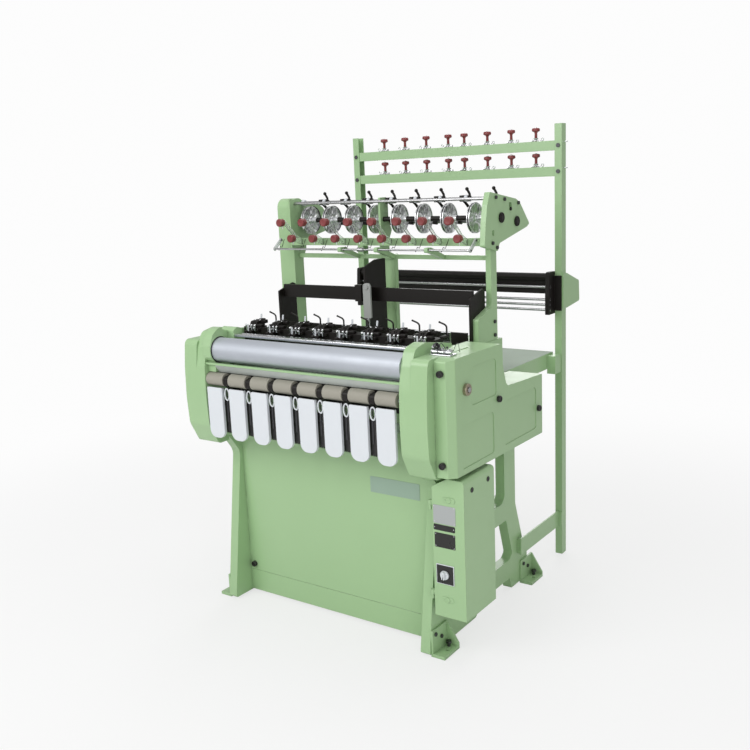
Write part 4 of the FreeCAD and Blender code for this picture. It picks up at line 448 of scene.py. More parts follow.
def paint(name, colour, rough=0.36, worn=(0.30, 0.32, 0.28), wear=0.25, dirt_and_shade=0.35, dust=0.10, drift=0.05,
          width=0.0012, peel=0.12, coat=0.25, gloss=0.5):
    """Sprayed enamel: drifting tone, orange-peel skin, soft edges worn a little, dirt and painted shade
    darkening corners.
    """
    tree, shader = blank(name, Coat_Weight=coat, Coat_Roughness=0.18, Specular_IOR_Level=gloss)
    edges = use(tree, "edges", Width=width, Wear=wear)
    grime_and_shade = use(tree, "grime_and_shade", Dust=dust, Dirt=dirt_and_shade)
    skin = use(tree, "skin", Scale=420.0, Broad=0.35)
    base = use(tree, "tone", Colour=(*colour, 1), Drift=drift, Scale=2.4)["Colour"]
    base = mix(tree, edges["Mask"], base, worn)
    # Painted shade, partly dirt: shut-in corners darkened towards a quarter of the colour.
    base = mix(tree, grime_and_shade["Dirt"], base, tuple(0.28 * c for c in colour))
    base = mix(tree, grime_and_shade["Dust"], base, (0.62, 0.62, 0.56))
    tree.links.new(base, shader.inputs["Base Color"])
    spread = math_node(tree, "MULTIPLY_ADD", skin["Spread"], 0.22, rough, True)
    spread = math_node(tree, "ADD", spread, math_node(tree, "MULTIPLY", grime_and_shade["Dust"], 0.5), clamp=True)
    tree.links.new(spread, shader.inputs["Roughness"])
    bump = add(tree, "ShaderNodeBump", None, {"Strength": peel, "Distance": 0.0006, "Height": skin["Height"],
                                              "Normal": edges["Normal"]})
    tree.links.new(bump.outputs[0], shader.inputs["Normal"])
    return tree, shader


def metal(name, colour, rough=0.25, across=(1, 400, 400), lines=0.12, smudge=0.06, dirt_and_shade=0.3, width=0.0006,
          bump=0.08):
    """Bare metal: fine grain along one axis in height, tone and roughness, smudges, corners darkened by dirt
    and painted shade.
    """
    tree, shader = blank(name, Metallic=1.0)
    edges = use(tree, "edges", Width=width, Wear=0.0)
    grime_and_shade = use(tree, "grime_and_shade", Dust=0.05, Dirt=dirt_and_shade)
    grain = use(tree, "grain", Across=across)
    base = use(tree, "tone", Colour=(*colour, 1), Drift=0.06, Scale=5.0)["Colour"]
    shade = math_node(tree, "MULTIPLY", grain["Lines"], lines)
    base = mix(tree, shade, base, tuple(0.55 * c for c in colour))
    # Painted shade, partly dirt: shut-in corners darkened towards near black.
    base = mix(tree, grime_and_shade["Dirt"], base, (0.05, 0.045, 0.04))
    tree.links.new(base, shader.inputs["Base Color"])
    spread = math_node(tree, "MULTIPLY_ADD", grain["Lines"], lines, rough - lines / 2, True)
    spread = math_node(tree, "MULTIPLY_ADD", grain["Smudge"], smudge, spread, True)
    tree.links.new(spread, shader.inputs["Roughness"])
    raised = add(tree, "ShaderNodeBump", None, {"Strength": bump, "Distance": 0.0002,
                                                "Height": grain["Lines"], "Normal": edges["Normal"]})
    tree.links.new(raised.outputs[0], shader.inputs["Normal"])
    return tree, shader


def moulded(name, colour, rough=0.3, dirt_and_shade=0.25, drift=0.04, peel=0.06, scale=700.0, width=0.0012, **sockets):
    """Moulded plastic or rubber: even tone, fine texture, soft edges, corners darkened a little by dirt and
    painted shade.
    """
    tree, shader = blank(name, **sockets)
    edges = use(tree, "edges", Width=width, Wear=0.0)
    grime_and_shade = use(tree, "grime_and_shade", Dust=0.06, Dirt=dirt_and_shade)
    skin = use(tree, "skin", Scale=scale, Broad=0.25)
    base = use(tree, "tone", Colour=(*colour, 1), Drift=drift, Scale=6.0)["Colour"]
    # Painted shade, partly dirt: shut-in corners darkened towards a third of the colour.
    base = mix(tree, grime_and_shade["Dirt"], base, tuple(0.3 * c for c in colour))
    base = mix(tree, grime_and_shade["Dust"], base, (0.5, 0.49, 0.46))
    tree.links.new(base, shader.inputs["Base Color"])
    spread = math_node(tree, "MULTIPLY_ADD", skin["Spread"], 0.2, rough, True)
    tree.links.new(spread, shader.inputs["Roughness"])
    bump = add(tree, "ShaderNodeBump", None, {"Strength": peel, "Distance": 0.0004, "Height": skin["Height"],
                                              "Normal": edges["Normal"]})
    tree.links.new(bump.outputs[0], shader.inputs["Normal"])
    return tree, shader


# ---- Finishes ----------------------------------------------------------------------------------
GREEN = (0.352, 0.535, 0.285)
paint("green_paint", GREEN, worn=(0.50, 0.56, 0.42), wear=0.30, peel=0.10)
paint("black_paint", (0.009, 0.007, 0.006), 0.46, worn=(0.10, 0.09, 0.08), wear=0.4, dirt_and_shade=0.1, dust=0.01,
      drift=0.25, width=0.0008, peel=0.08, coat=0.0, gloss=0.3)
paint("table_paint", (0.34, 0.41, 0.34), 0.70, dust=0.05, coat=0.0, gloss=0.3)
paint("grey_paint", (0.36, 0.37, 0.36), 0.42, worn=(0.2, 0.2, 0.2), wear=0.3, dirt_and_shade=0.4, dust=0.12)
metal("bright_steel", (0.58, 0.61, 0.66), 0.58, (1, 500, 500), 0.14, 0.08, 0.1)
metal("chrome", (0.74, 0.75, 0.77), 0.16, (1, 300, 300), 0.05, 0.05, 0.25)
metal("rod_steel", (0.50, 0.50, 0.51), 0.24, (1, 300, 300), 0.10, 0.06, 0.3)
metal("dark_steel", (0.10, 0.10, 0.105), 0.38, (90, 90, 90), 0.2, 0.1, 0.2)
metal("aluminium", (0.80, 0.81, 0.82), 0.28, (200, 200, 200), 0.12, 0.06, 0.3)
metal("bronze", (0.42, 0.36, 0.27), 0.42, (200, 200, 200), 0.2, 0.1, 0.4)
moulded("grey_rubber", (0.33, 0.315, 0.265), 0.62, 0.2, 0.10, 0.2, 500.0)
moulded("black_rubber", (0.018, 0.018, 0.018), 0.6, 0.1, 0.1, 0.2)
moulded("white_plastic", (0.70, 0.73, 0.765), 0.32, 0.16, 0.02, 0.05, width=0.002)
moulded("red_plastic", (0.225, 0.040, 0.040), 0.36, 0.4, 0.12, 0.08)
moulded("black_plastic", (0.016, 0.015, 0.015), 0.30, 0.1, 0.1, 0.08)
moulded("clear_plastic", (0.74, 0.78, 0.76), 0.16, 0.10, 0.02, 0.04, Transmission_Weight=0.55, IOR=1.46)
moulded("clear_sheet", (0.80, 0.84, 0.80), 0.12, 0.05, 0.02, 0.02, Transmission_Weight=0.85, IOR=1.3)
moulded("plate_grey", (0.40, 0.42, 0.42), 0.35, 0.2, 0.04, 0.05)
moulded("sheet_grey", (0.56, 0.60, 0.57), 0.40, 0.2, 0.04, 0.05)
moulded("plate_green", (0.30, 0.42, 0.33), 0.30, 0.2, 0.04, 0.05)

FINISHES = {
    "green_paint": "right_side_frame left_side_frame foot_brackets front_panel cross_stretchers machine_bed "
                   "front_housings right_side_cover left_side_cover control_box control_box_door roller_rail "
                   "left_upright rear_uprights top_plates cross_bars bar_brackets creel_frame creel_brackets "
                   "rear_table",
    "black_paint": "roller_carriers head_beam harness_plates harness_beams feeder_shaft disc_guards "
                   "guide_unit_ends guide_unit_drum arm_clamps head_blocks",
    "dark_steel": "fasteners needle_shaft sley_shaft motor_rotor",
    "black_plastic": "cover_knobs switch_plate chute_slats",
    "white_plastic": "switch_dial delivery_chutes",
    "grey_paint": "motor spring_arm",
    "black_rubber": "main_belt",
    "bright_steel": "take_up_roller press_shaft",
    "grey_rubber": "press_sleeves",
    "clear_plastic": "ring_guides",
    "clear_sheet": "tension_arms",
    "chrome": "guide_bar tape_guides spring_cluster creel_bases harness_spring reeds",
    "rod_steel": "top_rods guide_unit_rods stop_rod main_shaft",
    "aluminium": "feeder_discs",
    "red_plastic": "tension_knobs creel_knobs",
}
for finish, names in FINISHES.items():
    for node in names.split():
        NODES[node].data.materials.clear()
        NODES[node].data.materials.append(MATERIALS[finish])


# ---- Feeder wheels -----------------------------------------------------------------------------
HUB = [(-11, 9), (-11, 16), (-9.5, 18), (3, 18), (4, 19.5), (6, 19.5), (7, 17), (9, 14.5), (11, 14), (11, 9)]
RIM = [(-1.5, DISC_R - 2.2), (-1.5, DISC_R - 0.7), (-0.8, DISC_R), (0.8, DISC_R), (1.5, DISC_R - 0.7),
       (1.5, DISC_R - 2.2), (-1.5, DISC_R - 2.2)]
DISC_SHIFT = 3.5             # from a wheel's middle plane to each of its two discs
RIM_SHIFT = 5.4              # the same to its two rims
HUB_SCREWS = 3
HUB_SCREW_CIRCLE = 12.0
SLEEVE_END = 38.0            # from a wheel's middle plane to the end of the sleeve beside it
SHORT_SLEEVE = 3             # this wheel's sleeve ends before the upright strip
SHORT_SLEEVE_END = 26.0


def waved_disc(x, phase, low=17.0, high=DISC_R, flutes=12, depth=2.6, steps=13, turns=144):
    """Pressed disc on the feeder shaft: at radius r and turn t both faces are moved along x by depth
    times cos(flutes t + phase) times the square root of sin of r's share of the way from hub to rim."""
    turn = np.arange(turns) / turns * TAU
    radius = np.linspace(low, high, steps)
    swell = np.sqrt(np.sin(np.clip((radius - low - 3) / (high - low - 5), 0, 1) * math.pi).clip(0))
    wave = depth * swell[:, None] * np.cos(flutes * turn + phase)[None]
    front = x + 0.9 + wave
    back = (x - 0.9 + wave)[::-1]
    r = np.concatenate([radius, radius[::-1]])[:, None]
    along = np.concatenate([front, back])
    points = np.stack([along, FEED[0] + r * np.cos(turn), FEED[1] + r * np.sin(turn)], -1)
    return points.reshape(-1, 3), grid_faces(2 * steps, turns, True, True)[:, ::-1].tolist()


wheels = [waved_disc(x + side * DISC_SHIFT, side + 1.0) for x in HEAD_XS for side in (-1, 1)]
wheels += [turned(HUB, (x, *FEED), RIGHT, 40) for x in HEAD_XS]
wheels += [loop(RIM, (x + side * RIM_SHIFT, *FEED), RIGHT, 96) for x in HEAD_XS for side in (-1, 1)]
piece("feeder_wheels", wheels, "aluminium", "feeder", replaces=["feeder_discs"])
hub_screws, sleeves = [], []
for i, x in enumerate(HEAD_XS):
    for t in np.arange(HUB_SCREWS) / HUB_SCREWS * TAU + 0.5:
        place = (x + 9, FEED[0] + HUB_SCREW_CIRCLE * math.cos(t), FEED[1] + HUB_SCREW_CIRCLE * math.sin(t))
        hub_screws += socket_screw(place, RIGHT, 2.2, 2)
    end = SHORT_SLEEVE_END if i == SHORT_SLEEVE else SLEEVE_END
    sleeve = [(7, 9.2), (7, 11.4), (end - 7, 11.4), (end - 6, 13.4), (end - 1, 13.4), (end, 12.6),
              (end, 9.2), (7, 9.2)]
    sleeves.append(loop(sleeve, (x, *FEED), RIGHT, 36))
piece("feeder_wheel_screws", hub_screws, "dark_steel", "feeder")
piece("feeder_sleeves", sleeves, "aluminium", "feeder")

# Flange bearings of the feeder shaft and the tie rod on the right plate, and a stub above them.
BEARING = [(0, 9), (0, 18.5), (1, 19.5), (5.5, 19.5), (6.5, 18.5), (6.5, 16), (4.6, 15.2), (4.6, 13),
           (6.5, 12.4), (7.5, 11.6), (7.5, 0.01)]
PLATE_STUB = (650, 1574)     # depth and height
bearings = [turned(BEARING, (PLATE_FACE, d, z), RIGHT, 48) for d, z in (FEED, TIE)]
bearings.append(turned([(0, 7), (4, 7), (5, 6), (5, 0.01)], (PLATE_FACE, *PLATE_STUB), RIGHT, 24))
piece("plate_bearings", bearings, "black_paint")

# ---- Clamps, fingers and collars on the upper rod ----------------------------------------------
CLAMP_SHIFT = 52.0           # from a wheel's middle plane to its clamp
FINGER_SHIFT = 83.0          # the same to its ring with a finger
COLLAR_SHIFT = -53.0         # the same to its white collar
FINGER_RING = [(-4, 6), (-4, 10.8), (-3, 12), (3, 12), (4, 10.8), (4, 6), (-4, 6)]
COLLAR = [(0, 6), (0, 11.5), (1.5, 13), (12.5, 13), (14, 11.5), (14, 6)]
COLLAR_SCREW = [(7, 5), (13, 4.6), (14.5, 3), (14.5, 0.01)]
clamps, collars = [], []
d, z = HIGH_ROD
for wheel in HEAD_XS:
    x = wheel + CLAMP_SHIFT
    ring_x = wheel + FINGER_SHIFT
    finger = [(ring_x, d, z + 8), (ring_x, d, z + 17), (ring_x - 4, d - 2, z + 26),
              (ring_x - 9, d - 4, z + 35)]
    tail = [(x, d, z - 4), (x + 4, d + 14, z - 17), (x + 8, d + 29, z - 32)]
    clamps += [block(x - 8, x + 8, d - 12, d + 12, z - 12, z + 12, 2.0),
               loop(FINGER_RING, (ring_x, d, z), RIGHT, 28),
               tube(finger, 4.8, 12, BACK),
               ball((ring_x - 9, d - 4, z + 36), 7.2),
               tube(tail, (6.0, 5.2, 5.8), 12)]
    clamps += socket_screw((x, d - 12, z), FRONT, 4.0, 4)
    x = wheel + COLLAR_SHIFT
    collars += [turned(COLLAR, (x, d, z), RIGHT, 28),
                turned(COLLAR_SCREW, (x + 7, d, z), (0, -0.5, 0.86), 14)]
piece("rod_clamps", clamps, "black_paint", replaces=["arm_clamps"])
piece("rod_collars", collars, "white_plastic", replaces=["arm_clamps"])

# ---- Tension knobs -----------------------------------------------------------------------------
KNOB = [(0, 8), (0, 14.6), (1, 15.6), (9, 15.6), (10, 14.8), (11, 15.2), (12, 16), (22.4, 16), (24.2, 15),
        (25, 13.2), (24.6, 10.8), (24, 0.01)]
KNOB_FLUTES = (0.4, 24, (11.5, 22.6))   # their depth and number, and the fluted part of the knob's length
knobs, pins = [], []
for d, z in (KNOB_HIGH, KNOB_LOW):
    for x in HEAD_XS:
        knobs.append(turned(KNOB, (x, d, z), FRONT, 96, *KNOB_FLUTES))
        pins.append(tube([(x, d - 3, z - 6), (x, d - 3, z - 25)], 2.4, 12, BACK))
piece("tension_knobs_red", knobs, "red_plastic", replaces=["tension_knobs"])
piece("tension_pins", pins, "chrome")

# ---- Stop rod ----------------------------------------------------------------------------------
STOP_ROD_X = -507.0
STOP_ROD_LENGTH = 965.0
STOP_LEVER_XS = (STOP_ROD_X, 450.0)
STOP_COLLAR_X = -64.0
WIRE_SHIFT = -65.0           # from a wheel's middle plane to its wire, clear of the rod's brackets
LEVER_TIP = [(0, 0.01), (0, 4.2), (1.2, 3.6), (8.8, 3.6), (10, 4.2), (10, 0.01)]
d, z = STOP
end = STOP_ROD_LENGTH
profile = [(0, 0.01), (0, 3.4), (0.6, 4), (end - 0.6, 4), (end, 3.4), (end, 0.01)]
bar = [turned(profile, (STOP_ROD_X, d, z), RIGHT, 20),
       turned([(0, 4), (0, 8), (1, 9), (27, 9), (28, 8), (28, 4)], (STOP_COLLAR_X, d, z), RIGHT, 24)]
piece("stop_rod_bar", bar, "rod_steel", "stop", replaces=["stop_rod"])
levers, tips, wires = [], [], []
paddle = rounded([(d - 11, z + 1, 7), (d - 1, z - 11, 7), (d + 55, z + 33, 7), (d + 45, z + 46, 7)])
for x in STOP_LEVER_XS:
    levers.append(slab(paddle, x, x + 8, 0, 2.0))
    tips += [turned(LEVER_TIP, (x - 1, d + a, z + b), RIGHT, 18) for a, b in ((0, 0), (44, 34))]
piece("stop_levers", levers, "clear_plastic", "stop", replaces=["stop_rod"])
piece("stop_lever_tips", tips, "dark_steel", "stop")
for x in HEAD_XS + WIRE_SHIFT:
    path = [(x - 16, d, z + 3), (x - 10, d, z - 7), (x, d - 2, z + 12), (x + 9, d - 2, z + 7),
            (x + 26, d - 4, z + 42)]
    wires.append(tube(bent(path, 2.5), 1.2, 6))
piece("stop_wires", wires, "black_paint", "stop")

# ---- Creel -------------------------------------------------------------------------------------
CAP = [(14, 5.4), (16, 6.2), (34, 5.6), (39, 8), (42, 14.5), (43.5, 16.6), (46, 17), (52, 16.6), (55, 14.5),
       (56, 11), (55.2, 6), (55.2, 0.01)]
CAP_NUT = [(53, 5.5), (57.4, 5.5), (58.6, 4), (59, 0.01)]
WASHER = [(0.2, 4), (0.2, 15), (1.4, 15.4), (4, 12.5), (7, 8.4), (8, 8)]
UPPER_WASHER = [(8, 6), (10, 8.6), (13, 10.8), (14.2, 11), (14.6, 10), (13, 8), (13, 4)]
EYE_SHIFT = 30.0             # from a cap's axis to the eye beside it
LUG_SHIFT = 18.0             # from a cap's axis to the lug on one side and the screw on the other
CAP_SHIFTS = (37, 4)         # from a head to its cap, left and right of the middle
BAR_END = 534                # right end of the creel bars
STUB_DROP = 6                # from the top of a bar to the axis of its stub
STUB = [(0, 3), (16, 3), (17, 2.2), (17, 0.01)]
caps, steel, nuts = [], [], []
d = CREEL_D
for top in CREEL_TOPS:
    for x in HEAD_XS:
        side = -1 if x < 0 else 1
        x = x + CAP_SHIFTS[int(x > 0)]
        place = (x, d, top)
        caps.append(turned(CAP, place, UP, 36))
        nuts.append(turned(CAP_NUT, place, UP, 20))
        eye = x + side * EYE_SHIFT
        lug = x - side * LUG_SHIFT
        steel += [turned(WASHER, place, UP, 36),
                  turned(UPPER_WASHER, place, UP, 36),
                  block(min(x, eye), max(x, eye), d - 6, d + 6, top, top + 1.6, 0.4),
                  block(lug - 3, lug + 3, d - 5, d + 5, top, top + 9, 0.8),
                  ring((eye, d, top + 8), BACK, 5.4, 1.7, 24)]
        steel += socket_screw((x + side * LUG_SHIFT, d, top + 1), UP, 3.6, 4)
for top in CREEL_TOPS:
    steel.append(turned(STUB, (BAR_END, d, top - STUB_DROP), RIGHT, 14))
piece("creel_caps", caps, "red_plastic", replaces=["creel_knobs"])
piece("creel_cap_nuts", nuts, "chrome")
piece("creel_washers", steel, "chrome", replaces=["creel_bases"])

# ---- Weaving heads -----------------------------------------------------------------------------
CHEEKS = ((-23, -9), (-6, 0), (3, 13))       # left and right face of a head's three side plates
PIN_BALLS = ((-17, 6.0), (10, 4.6), (27, 5.2))   # place and radius of the balls on a head's pins
SMALL_REEL = [(0, 4), (0, 6.5), (1.5, 7), (2, 4), (4, 4), (4.5, 7), (6, 6.5), (6, 4)]
front, rear, top = HEAD_BEAM
hook_d = rear + 18
cheek = rounded([(front - 34, top - 22, 2), (front - 34, top - 10, 4), (front - 8, top - 10, 3),
                 (front + 10, top + 22, 5), (rear - 14, top + 26, 5), (rear, top + 20, 4), (rear, top),
                 (front, top), (front, top - 22, 2)])
bodies, tags, bright, hooks = [], [], [], []
for x in HEAD_XS:
    bodies += [slab(cheek, x + x0, x + x1, 0, 1.4) for x0, x1 in CHEEKS]
    bodies += [block(x - 12, x + 6, front + 6, rear - 20, top, top + 14, 1),
               block(x + 1, x + 21, rear - 24, rear - 4, top + 8, top + 30, 1.5),
               block(x + 14, x + 40, front + 4, front + 22, top, top + 12, 1.5),
               block(x + 14, x + 36, rear - 22, rear - 8, top + 12, top + 26, 1.5),
               block(x + 24, x + 36, front - 16, front + 4, top - 16, top - 3, 1.5)]
    hook = [(x + 58, hook_d, top), (x + 58, hook_d, top + 38), (x + 51, hook_d, top + 45),
            (x + 29, hook_d, top + 52.5)]
    hooks += [tube(bent(hook, 4.5), 3.2, 12, BACK),
              ball((x + 28.5, hook_d, top + 52.7), 3.8),
              block(x + 50, x + 63, rear - 18, rear + 24, top, top + 8, 1.5)]
    leaf = rounded([(x + 2, top + 28, 2), (x + 10, top + 28, 2), (x + 13, top + 50, 3), (x + 5, top + 50, 3)])
    tag = rounded([(x - 5, top - 12, 2), (x + 1, top - 12, 2), (x + 1, top + 17, 2.5),
                   (x - 5, top + 17, 2.5)])
    tags += [slab(leaf, rear - 15.5, rear - 12.5, 1, 0.8), slab(tag, front - 32, front - 28, 1, 1.0)]
    for at, size in PIN_BALLS:
        bright += [tube([(x + at, front - 22, top - 11), (x + at, front - 22, top + 8)], 2.6, 12, BACK),
                   ball((x + at, front - 22, top + 11), size)]
    bright += [coil((x - 7, front - 16, top - 1), (x + 9, front - 16, top + 4), 3.4, 0.8, 7, 6, 12),
               turned(SMALL_REEL, (x + 15, front - 14, top - 2), RIGHT, 20)]
    for at in (-16, 8):
        bright += socket_screw((x + at, front + 34, top + 24), UP, 3.4, 3)
piece("head_block_sides", bodies, "black_paint", replaces=["head_blocks"])
piece("head_hooks", hooks, "black_paint", replaces=["head_blocks"])
piece("head_tags", tags, "white_plastic", replaces=["tape_guides"])
piece("head_pins", bright, "chrome", replaces=["tape_guides"])

# ---- Tension device on the right: barrels with flanges, a coil and two thin wires ----------------
SEAT_Z = 1117.0
BARRELS = ((524, 548, 33, 1129), (552, 574, 33, 1129), (578, 601, 34, 1129), (524, 544, 54, 1129),
           (549, 568, 54, 1129), (572, 592, 54, 1129), (522, 552, 44, 1140))   # left, right, depth, height
barrels, dark = [block(520, 604, 22, 66, SEAT_Z, SEAT_Z + 4.6, 1)], []
for x0, x1, d, z in BARRELS:
    w = x1 - x0
    profile = [(0, 2), (0, 6.8), (1.2, 7.8), (3, 7.8), (4, 5.4), (w / 2, 5), (w - 4, 5.4), (w - 3, 7.8),
               (w - 1.2, 7.8), (w, 6.8), (w, 2)]
    barrels.append(turned(profile, (x0, d, z), RIGHT, 28))
for x in (536, 563, 590):
    barrels += [tube([(x, 44, SEAT_Z + 4), (x, 44, SEAT_Z + 22)], 2.2, 10, BACK),
                ball((x, 44, SEAT_Z + 23), 3.4)]
dark += [coil((540, 30, 1147), (552, 28, 1152), 9, 1.9, 4, 8, 18),
         tube(bent([(552, 28, 1152), (566, 30, 1160), (576, 38, 1140)], 5), 1.3, 8),
         tube(bent([(598, 50, 1130), (606, 60, 1158), (600, 84, 1152), (592, 104, 1119)], 8), 0.9, 6),
         ball((562, 24, 1142), 4.6), ball((578, 46, 1143), 4)]
piece("tension_barrels", barrels, "chrome", replaces=["spring_cluster"])
piece("tension_coil", dark, "dark_steel", replaces=["spring_cluster"])

# ---- Rings, strips and sheets at the front -------------------------------------------------------
RING_D = -66.0               # depth of the rings between the chutes
RING_Z = 913.0
SHEET_XS = (-416, 456.8)     # left and right edge of the sheets between the front housings
# Profile of the thin black ring that paints the shadow at the roller's left end.
ROLLER_SHADE_RING = [(0, 46), (0, 52.5), (0.4, 52.5), (0.4, 46), (0, 46)]
loops, curls, strips = [], [], []
for x in LANE_GAP_XS:
    low = RING_Z - 24
    loops += [ring((x, RING_D, RING_Z), BACK, 11.2, 2.8, 40, 2.05),
              tube([(x, RING_D, low), (x, -30, low), (x, 0, low)], 2.5, 10)]
    curl = [(x + 7, -62, 931), (x - 4, -62, 925), (x - 5, -62, 905), (x + 5, -62, 897)]
    curls.append(tube(bent(curl, 6), 2.0, 8, BACK))
    strips.append(slab(round_plate(x - 11, x - 4, 800, 884, 2), -60.5, -58, 1, 0.6))
piece("ring_loops", loops, "white_plastic", replaces=["ring_guides"])
piece("ring_curls", curls, "black_plastic")
piece("slat_strips", strips, "dark_steel")
slanted = [(-60.3, 1024.7), (-36.3, 991.8), (-35.9, 992.3), (-59.9, 1025.2)]
piece("slanted_sheet", slab(slanted, *SHEET_XS, 0, 0.1), "sheet_grey")
closing = [(-36.3, 991.8), (-20.5, 978.5), (-1, 962), (-1, 905), (0, 905), (0, 962.5), (-20, 979.2),
           (-35.9, 992.3)]
piece("table_sheet", block(-491, 491, 605, 1086, TABLE_Z - 0.2, TABLE_Z + 0.3, 0.1), "table_paint")
piece("closing_sheet", slab(closing, *SHEET_XS, 0, 0.1), "black_rubber")
# Painted shadow: a black ring round the left end of the take-up roller stands for the shade inside the
# housing's opening.
piece("roller_shade_ring", loop(ROLLER_SHADE_RING, (-417, *ROLLER), RIGHT, 64), "black_rubber")

# ---- Knobs and crank collar ----------------------------------------------------------------------
CAPPED = [(-5, 3), (0, 3.6), (0, 10.8), (1.5, 12), (11, 12), (13, 11.2), (14, 9.6), (13.4, 7.6), (10.5, 6.6),
          (10.5, 0.01)]
GROMMET = [(0, 5), (0, 9), (1.6, 9.6), (2.6, 8.6), (2.6, 6.6), (1.2, 5.8), (1.2, 0.01)]
CRANK_COLLAR = [(0, 10.2), (0, 21), (11, 21), (13, 19.4), (13, 10.2), (0, 10.2)]
flat_cap = [(0.9 * a, r) for a, r in CAPPED]
rings = [turned(CAPPED, (595, -30, z), FRONT, 36) for z in (1068, 751)]
rings += [turned(flat_cap, (COVER_X, d, z), RIGHT, 36) for d, z in ((293, 917), (623, 807))]
rings.append(turned(CAPPED, (-432, 103, 130), FRONT, 36))
piece("ring_knobs", rings, "black_plastic", replaces=["cover_knobs"])
grommets = [turned(GROMMET, (BOX_X, d, z), RIGHT, 28) for d, z in ((64, 646), (181, 651))]
piece("box_grommets", grommets, "black_plastic")
piece("crank_collar", loop(CRANK_COLLAR, (COVER_X, *SHAFT), RIGHT, 48), "bronze")

# ---- Control box door ----------------------------------------------------------------------------
LATCHES = ((590, 615), (576, 242))           # left-right place and height
LOCK = [(0, 10), (3, 10), (4.6, 8.6), (4.6, 4), (3.6, 3.4), (3.6, 0.01)]
DIAL = (569, 337)
RIVET = [(0, 2), (0.8, 1.8), (1.4, 1), (1.5, 0.01)]
DOOR_PLATES = {"door_plate_grey": ("plate_grey", 526, 615, 524, 592),
               "door_plate_slim": ("black_plastic", 526, 612, 499, 521),
               "door_plate_black": ("black_plastic", 529, 612, 436, 490)}
latches, rivets = [], []
for x, z in LATCHES:
    body = round_plate(x - 25, x + 25, z - 10, z + 10, 9.5)
    button = round_plate(x - 20, x - 12, z - 3, z + 3, 2.4)
    latches += [slab(body, DOOR_FACE - 1.8, DOOR_FACE + 0.1, 1, 0.7),
                turned(LOCK, (x, DOOR_FACE, z), FRONT, 32),
                slab(button, DOOR_FACE - 3.2, DOOR_FACE - 1.6, 1, 0.5)]
piece("door_latches", latches, "green_paint", "door")
for name, (finish, x0, x1, z0, z1) in DOOR_PLATES.items():
    sheet = slab(round_plate(x0, x1, z0, z1, 3), DOOR_FACE - 1.0, DOOR_FACE + 0.1, 1, 0.3)
    piece(name, sheet, finish, "door")
    heights = ((z0 + z1) / 2,) if z1 - z0 < 30 else (z0 + 4.5, z1 - 4.5)
    rivets += [turned(RIVET, (x, DOOR_FACE - 1, z), FRONT, 14) for x in (x0 + 4.5, x1 - 4.5) for z in heights]
piece("door_rivets", rivets, "chrome", "door")
notice = slab(round_plate(192, 412, 553, 616, 4), 101.8, 103.1, 1, 0.4)
piece("panel_plate", notice, "plate_green")
border = slab(round_plate(533, 605, 300, 374, 3), DOOR_FACE - 3.0, DOOR_FACE, 1, 0.8)
piece("switch_border", border, "white_plastic", "door")
x, z = DIAL
grip = rounded([(x - 7, z - 15, 6.8), (x + 7, z - 15, 6.8), (x + 5.5, z + 16, 5.3), (x - 5.5, z + 16, 5.3)])
dial = [turned([(0, 14), (0, 16.4), (1.2, 17), (6.6, 16.4), (8, 15), (8, 0.01)], (x, 3.4, z), FRONT, 48),
        slab(grip, -14.4, -4.2, 1, 2.0)]
piece("switch_knob", dial, "white_plastic", "dial", replaces=["switch_dial"])


# ---- Studio ------------------------------------------------------------------------------------
CAMERA_PLACE = (2.143, -3.007, 1.708)   # in metres, as are all lengths here but the lens's
CAMERA_TURN = (35.39, 12.0, -2.53)   # yaw to the left, pitch down and roll, in degrees
SENSOR = 36.0                # width of the camera's sensor and length of its lens
LENS = 44.256
LAMPS = (("key", (-1.5, -4.2, 3.4), (0, 0, 0.8), 3.2, 125),       # name, place, aim, size, power in watts
         ("fill", (3.5, -3.3, 2.0), (0, 0, 0.9), 2.4, 48),
         ("top", (0.3, 0.6, 4.6), (0, 0.1, 0.9), 3.0, 60),
         ("back", (-1.5, 4.2, 2.6), (0, 0, 1.0), 2.6, 55))
FLOOR_R = 7.0
FLOOR_Z = -0.0005            # the floor lies just under the feet
FLOOR_CORNERS = 96
GLOW_FROM = (1.2, 0.70)      # distance from the middle of the floor, and its glow there
GLOW_TO = (3.6, 1.0)
SKY_SEEN = 0.98              # brightness of the room where the camera sees it, and as a light
SKY_LIGHT = 0.42


def lamp(name, place, aim, size, power):
    """Soft square lamp that looks at a point."""
    data = bpy.data.lights.new(name, "AREA")
    data.size = size
    data.energy = power
    made = bpy.data.objects.new(name, data)
    way = np.asarray(place, float) - np.asarray(aim, float)
    a, b, c = basis(way)
    turn = np.eye(4)
    turn[:3, :3] = np.stack([b, c, a], 1)
    turn[:3, 3] = place
    made.matrix_world = turn.T.tolist()
    scene.collection.objects.link(made)


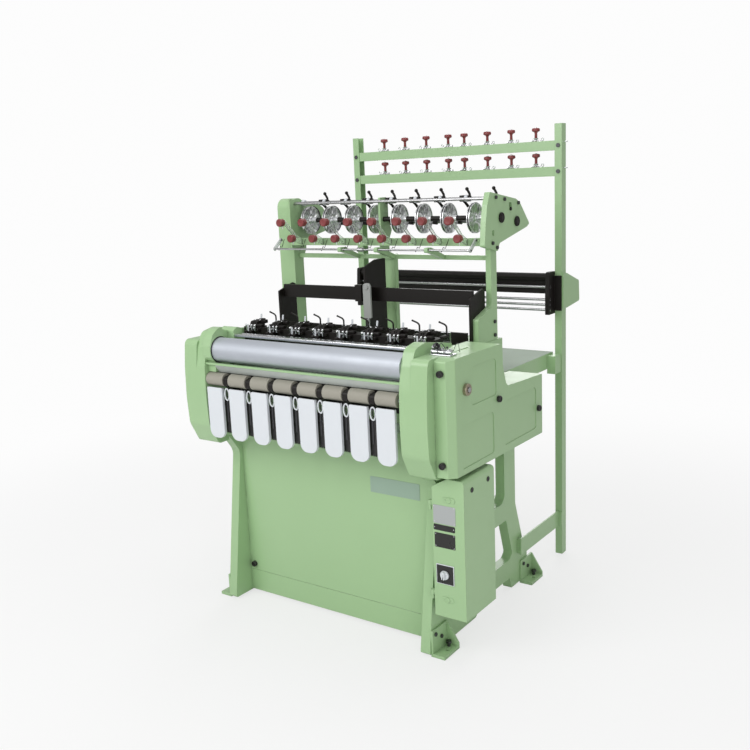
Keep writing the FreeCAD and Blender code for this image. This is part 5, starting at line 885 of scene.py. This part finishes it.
def studio():
    """Camera at the photo's viewpoint, four soft lamps, a white room and a pale floor."""
    data = bpy.data.cameras.new("camera")
    data.sensor_width = SENSOR
    data.lens = LENS
    data.clip_end = 60.0
    camera = bpy.data.objects.new("camera", data)
    yaw, pitch, roll = (math.radians(angle) for angle in CAMERA_TURN)
    ahead = np.array([-math.sin(yaw) * math.cos(pitch), math.cos(yaw) * math.cos(pitch), -math.sin(pitch)])
    right = np.array([math.cos(yaw), math.sin(yaw), 0.0])
    up = np.cross(right, ahead)
    tilted_right = math.cos(roll) * right + math.sin(roll) * up
    tilted_up = -math.sin(roll) * right + math.cos(roll) * up
    turn = np.eye(4)
    turn[:3, :3] = np.stack([tilted_right, tilted_up, -ahead], 1)
    turn[:3, 3] = CAMERA_PLACE
    camera.matrix_world = turn.T.tolist()
    scene.collection.objects.link(camera)
    scene.camera = camera

    for values in LAMPS:
        lamp(*values)

    world = bpy.data.worlds.new("room")
    world.use_nodes = True
    scene.world = world
    tree = world.node_tree
    sky = tree.nodes["Background"]
    path = add(tree, "ShaderNodeLightPath").outputs
    seen = math_node(tree, "MAXIMUM", path["Is Camera Ray"], path["Is Transmission Ray"])
    sky.inputs["Color"].default_value = (1, 1, 1, 1)
    bright = math_node(tree, "MULTIPLY_ADD", seen, SKY_SEEN - SKY_LIGHT, SKY_LIGHT)
    tree.links.new(bright, sky.inputs["Strength"])

    rim = np.arange(FLOOR_CORNERS) / FLOOR_CORNERS * TAU
    points = np.stack([FLOOR_R * np.cos(rim), FLOOR_R * np.sin(rim), np.full(FLOOR_CORNERS, FLOOR_Z)], -1)
    mesh = bpy.data.meshes.new("floor")
    mesh.from_pydata(points.tolist(), [], [list(range(FLOOR_CORNERS))])
    floor = bpy.data.objects.new("floor", mesh)
    scene.collection.objects.link(floor)
    material = bpy.data.materials.new("floor")
    material.use_nodes = True
    tree = material.node_tree
    shader = tree.nodes["Principled BSDF"]
    shader.inputs["Base Color"].default_value = (0.80, 0.80, 0.80, 1)
    shader.inputs["Roughness"].default_value = 0.9
    shader.inputs["Specular IOR Level"].default_value = 0.1
    glow = add(tree, "ShaderNodeEmission", None, {"Color": (0.98, 0.98, 0.98, 1), "Strength": 1.0})
    path = add(tree, "ShaderNodeLightPath").outputs
    where = add(tree, "ShaderNodeTexCoord").outputs["Object"]
    away = add(tree, "ShaderNodeVectorMath", {"operation": "LENGTH"}, {0: where}).outputs["Value"]
    far = remap(tree, away, GLOW_FROM[0], GLOW_TO[0], GLOW_FROM[1], GLOW_TO[1])
    seen = math_node(tree, "MULTIPLY", path["Is Camera Ray"], far)
    both = add(tree, "ShaderNodeMixShader", None, {0: seen, 1: shader.outputs[0], 2: glow.outputs[0]})
    tree.links.new(both.outputs[0], tree.nodes["Material Output"].inputs["Surface"])
    mesh.materials.append(material)
    scene.view_settings.view_transform = "Standard"


studio()
